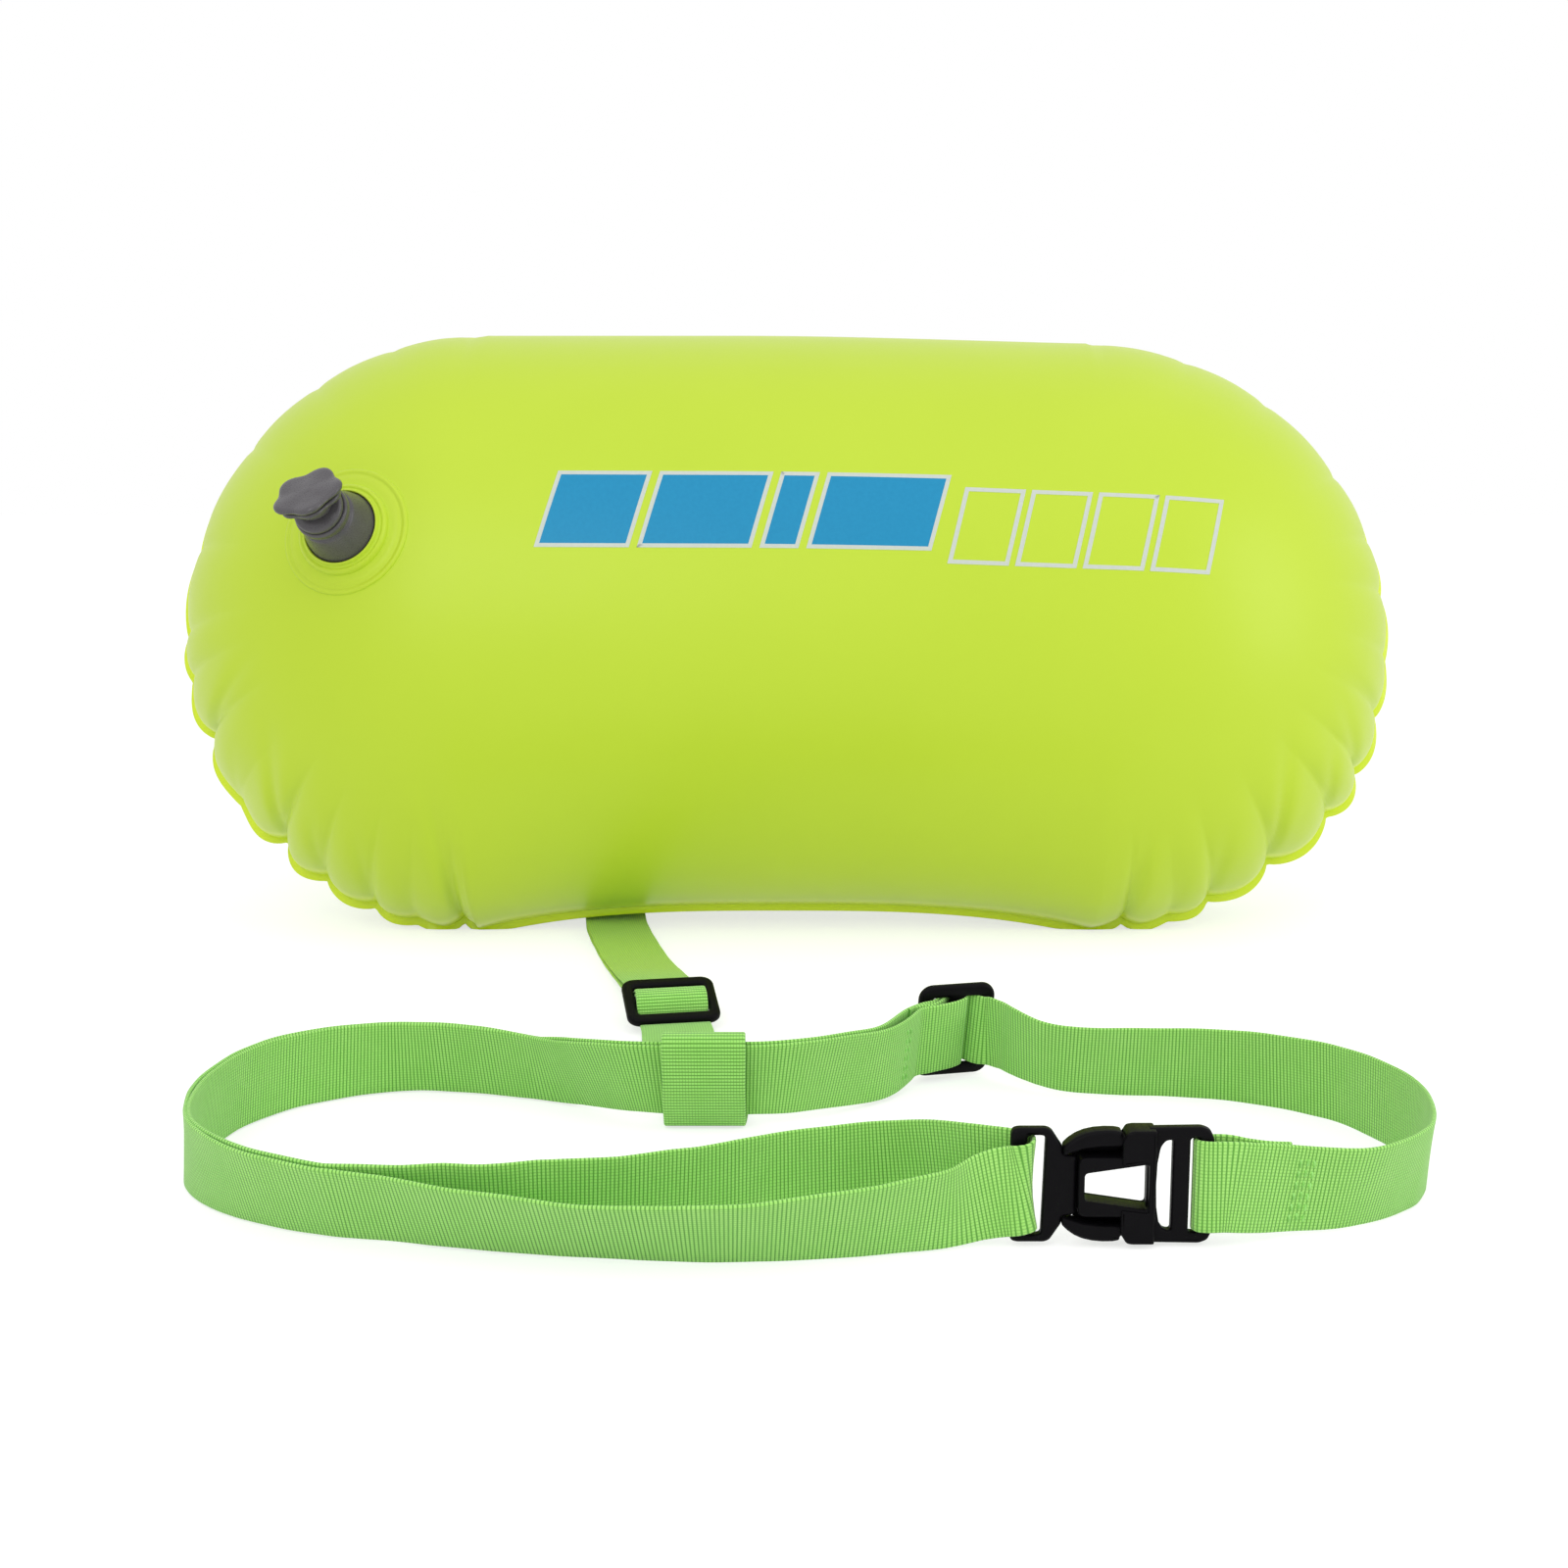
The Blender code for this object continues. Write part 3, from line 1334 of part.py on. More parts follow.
def station_along(stations, distance):
    """The place at a distance along a run, with the run's direction there."""
    passed = 0.0
    for a, b in zip(stations, stations[1:]):
        step = (b.centre - a.centre).length
        if passed + step >= distance:
            break
        passed += step
    share = (distance - passed) / step
    along = (b.centre - a.centre).normalized()
    return Station(a.centre.lerp(b.centre, share), a.width.lerp(b.width, share)), along


def thread_on(name, stations, start, side):
    """One thread sewn to and fro over a face of the webbing; side is +1 on the run's left face."""
    half = WEB_WIDTH / 2 - THREAD_INSET
    lift = WEB_THICKNESS / 2 + THREAD_GAP + THREAD_RADIUS
    count = THREAD_ROWS * THREAD_STEPS
    curve = bpy.data.curves.new(name, "CURVE")
    curve.dimensions = "3D"
    curve.bevel_depth = THREAD_RADIUS
    curve.bevel_resolution = 1
    curve.use_fill_caps = True
    spline = curve.splines.new("POLY")
    spline.points.add(count)
    for n, point in enumerate(spline.points):
        station, along = station_along(stations, start + THREAD_LENGTH * n / count)
        across = math.asin(math.cos(math.pi * n / THREAD_STEPS)) * 2 * half / math.pi
        left = station.width.cross(along).normalized()
        place = station.centre + station.width * across + left * side * lift
        point.co = (*place, 1.0)
    bm = drawn_mesh(curve)
    bmesh.ops.recalc_face_normals(bm, faces=bm.faces)
    mesh = bpy.data.meshes.new(name)
    bm.to_mesh(mesh)
    bm.free()
    smooth(mesh, 60.0)
    return add_object(name, mesh, green_thread())


def main():
    bladder = empty("bladder_frame", BLADDER_FRAME)
    bpy.context.view_layer.update()
    front = bladder_sheet("front_panel", True, bladder)
    back = bladder_sheet("back_panel", False, bladder)
    valve = empty("valve_frame", BLADDER_FRAME @ valve_spot(front))
    valve_base(front, valve, bladder)
    hole = cylinder(
        "valve_hole", valve_hole_radius(), -COLLAR_RADIUS, COLLAR_RADIUS, lime_pvc(), valve
    )
    boolean(front, as_cutter(hole), "DIFFERENCE")
    valve_stem(valve)
    check_flap(valve)
    valve_cap(valve)
    cap_seal(valve)

    belt = belt_route()
    belt_strap(belt)
    slider = add_object(
        "belt_slider", slider_mesh(), black_acetal(), empty("belt_slider_frame", belt["slider"])
    )
    buckle = empty("buckle_frame", belt["buckle"])
    buckle_male(buckle)
    for name, side in (("buckle_prong_upper", 1), ("buckle_prong_lower", -1)):
        root = empty(
            name + "_root",
            belt["buckle"] @ Matrix.Translation((MALE_NECK_X, 0.0, side * PRONG_ROOT_Z)),
        )
        buckle_prong(name, side, root)
    buckle_female(buckle)
    thread_on("belt_slider_stitch", belt["inner"], THREAD_START, 1.0)
    thread_on("buckle_stitch", belt["right"][::-1], THREAD_START + SEWN_SPREAD, -1.0)

    anchor_place = BLADDER_FRAME @ anchor_spot(back)
    tether = tether_route(belt, anchor_place)
    tether_strap(tether)
    frame = empty("tether_slider_frame", tether_slider_frame())
    add_object("tether_slider", slider.data, black_acetal(), frame)
    anchor = empty("anchor_frame", anchor_place)
    anchor_patch(back, anchor, bladder)
    thread_on("tether_slider_stitch", tether["lower"], THREAD_START, 1.0)
    thread_on("sleeve_stitch", tether["sleeve"][::-1], THREAD_START, 1.0)


main()
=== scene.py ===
"""Looks of the open water swim buoy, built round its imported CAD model, in metres.

The bladder is welded from two PVC sheets, the belt and the tether are polypropylene webbing,
and the sliders, the buckle and the valve are moulded plastic.
"""

import json
import math

import bmesh
import bpy
import numpy as np
from mathutils import Matrix, Vector
from mathutils.bvhtree import BVHTree


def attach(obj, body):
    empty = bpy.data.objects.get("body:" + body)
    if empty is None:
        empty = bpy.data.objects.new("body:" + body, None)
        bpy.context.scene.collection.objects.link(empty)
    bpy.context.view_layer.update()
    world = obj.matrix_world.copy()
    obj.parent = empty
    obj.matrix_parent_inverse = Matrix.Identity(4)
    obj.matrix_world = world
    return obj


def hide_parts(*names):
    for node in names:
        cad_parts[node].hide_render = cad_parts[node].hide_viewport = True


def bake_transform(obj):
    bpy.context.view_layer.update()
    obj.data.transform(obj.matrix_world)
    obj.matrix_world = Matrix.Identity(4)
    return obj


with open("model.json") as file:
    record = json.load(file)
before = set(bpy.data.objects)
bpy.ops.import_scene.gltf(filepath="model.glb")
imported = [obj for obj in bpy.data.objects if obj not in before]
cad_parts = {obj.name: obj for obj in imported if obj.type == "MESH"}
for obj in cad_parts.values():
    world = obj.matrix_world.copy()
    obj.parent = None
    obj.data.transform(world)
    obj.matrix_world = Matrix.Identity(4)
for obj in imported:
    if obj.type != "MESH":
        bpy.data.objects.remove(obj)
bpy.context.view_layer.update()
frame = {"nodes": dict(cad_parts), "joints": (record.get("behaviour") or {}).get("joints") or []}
MM = 0.001
WHITE = (1.0, 1.0, 1.0, 1.0)

# Camera of the photograph
CAMERA_AT = (0.0, -0.7593, 0.222)
CAMERA_DOWN = math.radians(10.4)
LENS = 50.0
SENSOR = 36.0

# Bladder
BLADDER_LENGTH = 0.5025
BLADDER_HEIGHT = 0.250
BLADDER_DEPTH = 0.170
LEAN = math.radians(17.0)
BLADDER = Matrix.Translation((0.0, 0.1545, 0.119694)) @ Matrix.Rotation(-LEAN, 4, "X")
SHEET_LIFT = 0.00075
WELD_WIDTH = 0.0032
WELD_EDGE = 0.0003
WELD_FOOT = 0.00035
ARCH_RISE = 0.0100
RADIUS = BLADDER_HEIGHT / 2
HALF_DEPTH = BLADDER_DEPTH / 2
SPINE_HALF = BLADDER_LENGTH / 2 - RADIUS
END_STEPS = 320
SIDE_STEPS = 110
RINGS = 54
# crowds the rings at the seam
RING_POWER = 1.22
# shares of the way from the spine to the seam: where the puckers begin, and where the weld's gloss and its painted
# glow, a brighter lime, do
PUCKER_FROM = 0.6
WELD_FROM = 0.985
WELD_FADE = 0.012
# the puckers of each end: degrees below level, then how far the edge is pulled in there, and the
# length and the depth of its crease, all in mm
PUCKERS_LEFT = (
    (-88.0, 1.0, 22.0, 0.6), (-72.0, 0.8, 20.0, 0.6), (-55.0, 1.0, 24.0, 0.7), (-37.0, 1.2, 26.0, 0.8),
    (-15.1, 1.8, 26.0, 1.0), (1.5, 2.2, 24.0, 1.1), (10.0, 2.6, 22.0, 1.1), (22.2, 6.6, 44.0, 2.7),
    (36.0, 2.2, 26.0, 1.0), (47.6, 8.0, 50.0, 3.1), (58.4, 4.8, 30.0, 1.8), (69.4, 3.8, 34.0, 1.7),
    (78.0, 2.0, 24.0, 0.9), (87.0, 5.6, 54.0, 2.7),
)
PUCKERS_RIGHT = (
    (-88.0, 0.8, 20.0, 0.6), (-70.0, 0.9, 22.0, 0.6), (-52.0, 1.0, 22.0, 0.7), (-32.0, 1.2, 26.0, 0.8),
    (-18.0, 1.2, 22.0, 0.8), (-7.4, 1.8, 22.0, 1.0), (5.0, 1.4, 22.0, 0.9), (16.4, 3.2, 34.0, 1.6),
    (28.2, 4.6, 34.0, 1.9), (38.0, 5.4, 32.0, 1.9), (52.7, 6.6, 58.0, 3.0), (66.6, 4.6, 34.0, 1.8),
    (75.0, 1.8, 22.0, 0.9), (83.7, 4.6, 44.0, 2.4),
)
# under 1 gives fuller curves between the cusps of the puckers
PUCKER_FULLNESS = 0.75
# a crease's width, in what share of it the crease starts and how much it gains, and how it fades out
CREASE_WIDTH = 0.0030
CREASE_START, CREASE_GAIN = 0.55, 0.9
CREASE_FADE = 1.5
# it starts this far outside its pucker, and is shallower where the sheet is less deep than this
CREASE_LEAD = 0.0040
CREASE_DEEP = 0.0090
# low creases stand more upright: from so many degrees below level, over so many more, by this share at
# most, and leaning by this much
UPRIGHT_FROM, UPRIGHT_OVER = 5.0, 40.0
CREASE_UPRIGHT = 0.75
CREASE_TILT = 0.18
# the swell on both sides of a crease: its share of the depth, its place and its width in crease widths
CREASE_SWELL = (0.32, 2.2, 1.6)
# degrees below level, how far out the edge swells at most, and how wide that is in degrees
SWELL_RIGHT = (34.0, 0.0038, 17.0)
# the right end sags by a share of its height and the left end is shorter, each from an x and over a length
SAG, SAG_FROM, SAG_OVER = 0.016, -0.02, 0.20
SHORTER, SHORTER_FROM, SHORTER_OVER = 0.0018, -0.10, 0.15

# Valve
PATCH_RADIUS = 0.0260
PATCH_THICKNESS = 0.0010
COLLAR_RADIUS = 0.0186
COLLAR_INNER = 0.0146
COLLAR_HEIGHT = 0.0056
COLLAR_SUNK = 0.0060
# the wing plates lean towards this direction, by this many degrees, and are turned by this many
CAP_LEAN = (-0.25, -0.375, 0.892)
CAP_SLANT = 30.0
CAP_TURN = 4.0
# in mm: where the plates' slant starts over the valve's foot, and how far over that each plate stands
CAP_PIVOT = 27.2
CAP_PLATES = (3.0, 6.3)
CAP_STEPS = 96
PLATE_RADIUS = 0.0131
PLATE_LOBE = 0.0010
PLATE_HALF = 0.0013
PLATE_STEPS = 160

# Anchor
ANCHOR_AT = (-0.073, 0.177854, 0.015166)
ANCHOR_OUT = (0.048421, 0.384152, -0.921999)
ANCHOR_LEVEL = (-0.997123, 0.072492, -0.022163)
LOOP_WIDTH = 0.0090
LOOP_THICKNESS = 0.0020
LOOP_HEIGHT = 0.0049
LOOP_FOOT = 0.0040
# the foot's gap over the patch, and the play beside the webbing
LOOP_BASE = 0.0006
LOOP_PLAY = 0.0006
# how much of the loop's shoulders is bevelled, across and down
LOOP_BEVEL = (0.0006, 0.0012)

# Buckle, and the sliders' sizes in mm
BUCKLE_AT = (0.059, -0.218, 0.0164)
SLIDER_HALF = 12.7
SLIDER_HIGH = 16.5
SLIDER_ROUND = 4.6
SLOT_AT = 5.15
SLOT_HALF = 2.9
SLOT_LOW = -12.7
SLOT_HIGH = 12.4

# Webbing
WEB_WIDTH = 0.0250
WEB_THICKNESS = 0.0012
STRAP_STEP = 0.0012
STRAP_COLUMNS = 11
STITCH_LENGTH = 0.0024
STITCH_GAP = 0.0008
STITCH_RADIUS = 0.00032
STITCH_SIDES = 8
STITCH_RINGS = 7
# the rows' distance from the selvedges, the shift of every second row, half a stitch's slant, how far its
# ends are sunk in the weave, and how far its middle rises from there
STITCH_MARGIN = 0.0016
STITCH_SHIFT = 0.0004
STITCH_SLANT = 0.00012
STITCH_SUNK = 0.00022
STITCH_RISE = 0.00042
# each place: x, y and z of the middle in hundredths of a mm, then the width's direction in thousandths,
# where it isn't the same as before
BELT_ROUTE = (
    (3839, -9220, 1514, 38, -231, 972), (4023, -8914, 1538, 49, -241, 969), (4242, -8764, 1558, 53, -237, 970),
    (4692, -8583, 1574, 59, -235, 970), (4888, -8420, 1601), (5201, -7902, 1708), (5265, -7832, 1721),
    (5351, -7792, 1725), (5496, -7756, 1725), (5631, -7760, 1716), (5741, -7834, 1692), (5791, -7955, 1659),
    (5767, -8084, 1630), (5674, -8181, 1612), (4827, -8679, 1542), (4796, -8696, 1540),
    (4272, -8961, 1508, 54, -237, 970), (4095, -9286, 1466, 52, -227, 973), (3887, -9663, 1414, 56, -210, 976),
    (3621, -10081, 1361, 72, -185, 980), (3283, -10490, 1327, 106, -158, 982), (2886, -10856, 1329, 149, -138, 979),
    (2462, -11187, 1361, 182, -130, 975), (2036, -11504, 1407, 197, -134, 971), (1617, -11818, 1452, 196, -147, 969),
    (1201, -12127, 1490, 184, -167, 969), (775, -12412, 1521, 164, -195, 967), (320, -12650, 1545, 132, -227, 965),
    (-177, -12825, 1561, 89, -258, 962), (-713, -12931, 1570, 45, -279, 959), (-1273, -12980, 1572, 12, -289, 957),
    (-1836, -12994, 1572, -1, -292, 956), (-2398, -12993, 1572, 0, -294, 956), (-2960, -12981, 1573, -1, -299, 954),
    (-3531, -12937, 1570, -25, -306, 952), (-4117, -12820, 1554, -77, -310, 948),
    (-4731, -12586, 1513, -144, -305, 941), (-5367, -12223, 1443, -204, -297, 933),
    (-6009, -11761, 1350, -239, -296, 925), (-6643, -11254, 1246, -253, -308, 917),
    (-7292, -10841, 1188, -165, -333, 928), (-8353, -10360, 1208, -106, -294, 950),
    (-9433, -9991, 1216, -76, -279, 957), (-10522, -9720, 1222, -43, -264, 964), (-11622, -9599, 1225, -5, -259, 966),
    (-12365, -9664, 1229, 52, -239, 970), (-13101, -9873, 1236, 80, -197, 977), (-13818, -10189, 1242, 86, -160, 983),
    (-14472, -10571, 1245, 90, -135, 987), (-14974, -10951, 1247, 111, -101, 989),
    (-15423, -11402, 1250, 112, -62, 992), (-15816, -11911, 1251, 109, -35, 993),
    (-16142, -12460, 1251, 116, -20, 993), (-16408, -13038, 1251, 125, -10, 992),
    (-16596, -13655, 1251, 113, -4, 994), (-16727, -14300, 1251, 106, -1, 994), (-16821, -14954, 1252, 103, 0, 995),
    (-16873, -15515, 1252, 102, 1, 995), (-16880, -16078, 1252, 97, 3, 995), (-16837, -16635, 1254, 83, 4, 997),
    (-16738, -17181, 1258, 47, 0, 999), (-16609, -17707, 1263, 5, -8, 1000), (-16429, -18219, 1270, -49, -29, 998),
    (-16198, -18705, 1276, -107, -67, 992), (-15915, -19153, 1278, -147, -112, 983),
    (-15515, -19645, 1279, -157, -151, 976), (-15041, -20098, 1277, -170, -203, 964),
    (-14527, -20505, 1272, -176, -258, 950), (-13980, -20861, 1266, -167, -301, 939),
    (-13284, -21228, 1262, -151, -335, 930), (-12556, -21540, 1254, -136, -375, 917),
    (-11801, -21802, 1246, -115, -409, 905), (-10812, -22023, 1256, -80, -362, 929),
    (-9800, -22160, 1250, -44, -321, 946), (-8774, -22194, 1251, -25, -250, 968),
    (-7744, -22262, 1238, -17, -247, 969), (-7079, -22243, 1247, 1, -214, 977), (-6415, -22152, 1258, 26, -152, 988),
    (-5756, -22081, 1256, 49, -142, 989), (-5104, -21984, 1251, 66, -157, 985), (-4386, -21833, 1246, 68, -167, 984),
    (-3680, -21643, 1249, 58, -145, 988), (-2981, -21418, 1250, 48, -115, 992), (-2288, -21181, 1249, 44, -120, 992),
    (-1628, -20926, 1264, 40, -103, 994), (-980, -20638, 1281, 25, -75, 997), (-327, -20351, 1284, 0, -51, 999),
    (352, -20133, 1297, -21, -42, 999), (1055, -19948, 1314, -36, -35, 999), (1762, -19780, 1330, -50, -21, 999),
    (2463, -19687, 1357, -59, 0, 998), (3136, -19750, 1414, -62, 24, 998), (3753, -20002, 1506, -56, 42, 998),
    (4321, -20391, 1613, -45, 46, 998), (4894, -20828, 1705, -31, 33, 999), (5514, -21219, 1756, -16, 15, 1000),
    (6170, -21530, 1770, 0, 0, 1000), (6305, -21566, 1750), (6404, -21665, 1730), (6440, -21800, 1700),
    (6404, -21935, 1660), (6305, -22034, 1620), (6170, -22070, 1580), (5610, -22097, 1496, -69, -47, 997),
    (5147, -22163, 1400, -132, -129, 983), (4765, -22282, 1305, -151, -224, 963),
    (4394, -22434, 1236, -110, -290, 951), (3971, -22604, 1205, -41, -319, 947), (3468, -22788, 1199, 21, -336, 942),
    (2913, -22981, 1185, 62, -366, 929), (2342, -23173, 1163, 88, -408, 909), (1760, -23326, 1149, 83, -436, 896),
    (954, -23498, 1136, 69, -461, 885), (142, -23647, 1108, 50, -508, 860), (-675, -23758, 1076, 33, -553, 833),
    (-1496, -23817, 1061, 8, -573, 819), (-2400, -23814, 1054, -27, -580, 814), (-3303, -23758, 1043, -59, -591, 805),
    (-4205, -23667, 1032, -74, -603, 795), (-5104, -23560, 1027, -77, -607, 791),
    (-5681, -23473, 1037, -83, -595, 799), (-6253, -23360, 1056, -94, -571, 816),
    (-6823, -23233, 1073, -107, -547, 830), (-7392, -23101, 1080, -114, -536, 836),
    (-8318, -22884, 1092, -108, -521, 847), (-9239, -22621, 1117, -98, -486, 868),
    (-10157, -22331, 1140, -97, -449, 888), (-11077, -22112, 1150, -99, -431, 897),
    (-11262, -22071, 1151, -96, -429, 898), (-11476, -22021, 1155, -97, -422, 902),
    (-11661, -21982, 1159, -112, -411, 905), (-11849, -21939, 1159, -124, -406, 906),
    (-12609, -21675, 1172, -128, -378, 917), (-13346, -21359, 1186, -145, -338, 930),
    (-14054, -20986, 1196, -160, -305, 939), (-14612, -20623, 1208, -166, -266, 950),
    (-15124, -20217, 1223, -158, -213, 964), (-15590, -19771, 1238, -128, -160, 979),
    (-16006, -19268, 1246, -99, -123, 987), (-16305, -18805, 1252, -57, -82, 995),
    (-16551, -18297, 1253, -2, -44, 999), (-16744, -17761, 1253, 49, -19, 999), (-16879, -17214, 1253, 68, -7, 998),
    (-16981, -16654, 1253, 84, -2, 996), (-17025, -16083, 1252, 97, 0, 995), (-17018, -15507, 1252, 102, 0, 995),
    (-16965, -14937, 1252, 103, -1, 995), (-16870, -14275, 1252, 106, -2, 994), (-16737, -13620, 1252, 114, -4, 993),
    (-16543, -12986, 1252, 105, -10, 994), (-16273, -12397, 1252, 97, -20, 995), (-15939, -11834, 1252, 90, -35, 995),
    (-15537, -11312, 1251, 92, -63, 994), (-15076, -10848, 1249, 90, -101, 991),
    (-14561, -10457, 1245, 90, -135, 987), (-13883, -10059, 1242, 86, -160, 983),
    (-13150, -9736, 1236, 79, -197, 977), (-12391, -9521, 1229, 51, -239, 970), (-11618, -9454, 1225, -6, -259, 966),
    (-10496, -9577, 1224, -47, -264, 963), (-9392, -9852, 1223, -87, -276, 957),
    (-8281, -10234, 1212, -128, -342, 931), (-7212, -10720, 1228, -178, -383, 906),
    (-6540, -11152, 1319, -216, -334, 918), (-5927, -11642, 1413, -229, -303, 925),
    (-5302, -12094, 1501, -204, -297, 933), (-4697, -12440, 1572, -148, -304, 941),
    (-4104, -12671, 1614, -79, -309, 948), (-3519, -12793, 1631, -26, -306, 952),
    (-2957, -12836, 1634, -2, -299, 954), (-2396, -12848, 1633, 0, -294, 956), (-1836, -12849, 1633, 0, -292, 956),
    (-1279, -12835, 1633, 14, -288, 957), (-732, -12787, 1630, 48, -278, 959), (-213, -12684, 1620, 95, -256, 962),
    (266, -12516, 1601, 139, -224, 965), (707, -12283, 1574, 170, -191, 967), (1122, -11997, 1541, 189, -164, 968),
    (1528, -11685, 1502, 200, -145, 969), (1935, -11364, 1457, 203, -131, 970), (2339, -11036, 1413, 190, -124, 974),
    (2709, -10687, 1383, 157, -131, 979), (3040, -10299, 1384, 113, -153, 982), (3324, -9875, 1421, 74, -185, 980),
    (3587, -9430, 1482, 53, -213, 976), (3878, -9023, 1544, 49, -230, 972), (4222, -8702, 1586, 53, -236, 970),
    (4610, -8457, 1609, 59, -235, 970), (4696, -8417, 1614), (4759, -8347, 1627), (5072, -7829, 1733),
    (5176, -7716, 1754), (5316, -7651, 1762), (5461, -7615, 1762), (5615, -7607, 1754), (5760, -7658, 1733),
    (6279, -7968, 1627), (6368, -8000, 1614), (6463, -7995, 1609), (6900, -8310, 1586, 54, -302, 952),
    (7294, -8785, 1509, 38, -328, 944), (7683, -9224, 1429, 21, -341, 940), (8097, -9580, 1351, 6, -342, 940),
    (8587, -9824, 1289, -3, -333, 943), (9181, -9962, 1250, -9, -318, 948), (9852, -10031, 1230, -15, -300, 954),
    (10557, -10069, 1223, -26, -281, 959), (11269, -10104, 1223, -40, -264, 964),
    (11982, -10155, 1227, -52, -246, 968), (12692, -10235, 1231, -64, -226, 972),
    (13392, -10365, 1235, -76, -204, 976), (14082, -10567, 1239, -87, -180, 980),
    (14759, -10849, 1243, -92, -153, 984), (15413, -11213, 1246, -92, -125, 988),
    (16035, -11650, 1249, -87, -96, 992), (16632, -12136, 1251, -80, -69, 994), (17057, -12681, 1253, -67, -44, 997),
    (17411, -13279, 1253, -43, -23, 999), (17706, -13912, 1253, -25, -10, 1000), (17952, -14563, 1253, -16, -5, 1000),
    (18104, -15088, 1253, -14, -2, 1000), (18203, -15629, 1253, -10, -1, 1000), (18242, -16176, 1252, -1, -2, 1000),
    (18216, -16721, 1253, 10, -2, 1000), (18120, -17390, 1253, 24, -4, 1000), (17968, -18054, 1253, 54, -17, 998),
    (17742, -18691, 1251, 98, -51, 994), (17424, -19330, 1244, 133, -102, 986), (16998, -19830, 1242, 155, -135, 979),
    (16532, -20291, 1250, 172, -163, 972), (16031, -20693, 1264, 179, -187, 966),
    (15533, -21012, 1280, 176, -208, 962), (15066, -21227, 1296, 163, -216, 963),
    (14619, -21349, 1318, 147, -203, 968), (14168, -21425, 1346, 136, -170, 976),
    (13696, -21507, 1384, 127, -130, 983), (13196, -21628, 1436, 112, -88, 990), (12675, -21784, 1500, 83, -49, 995),
    (12142, -21938, 1569, 46, -18, 999), (11600, -22070, 1640, 10, 1, 1000), (10990, -22070, 1640, 0, 0, 1000),
    (10855, -22034, 1640), (10756, -21935, 1640), (10720, -21800, 1640), (10756, -21665, 1640), (10855, -21566, 1640),
    (10990, -21530, 1640), (11600, -21530, 1640, 5, -1, 1000), (12051, -21642, 1575, 25, -1, 1000),
    (12586, -21626, 1515, 64, -52, 997), (13108, -21416, 1456, 107, -97, 990),
)
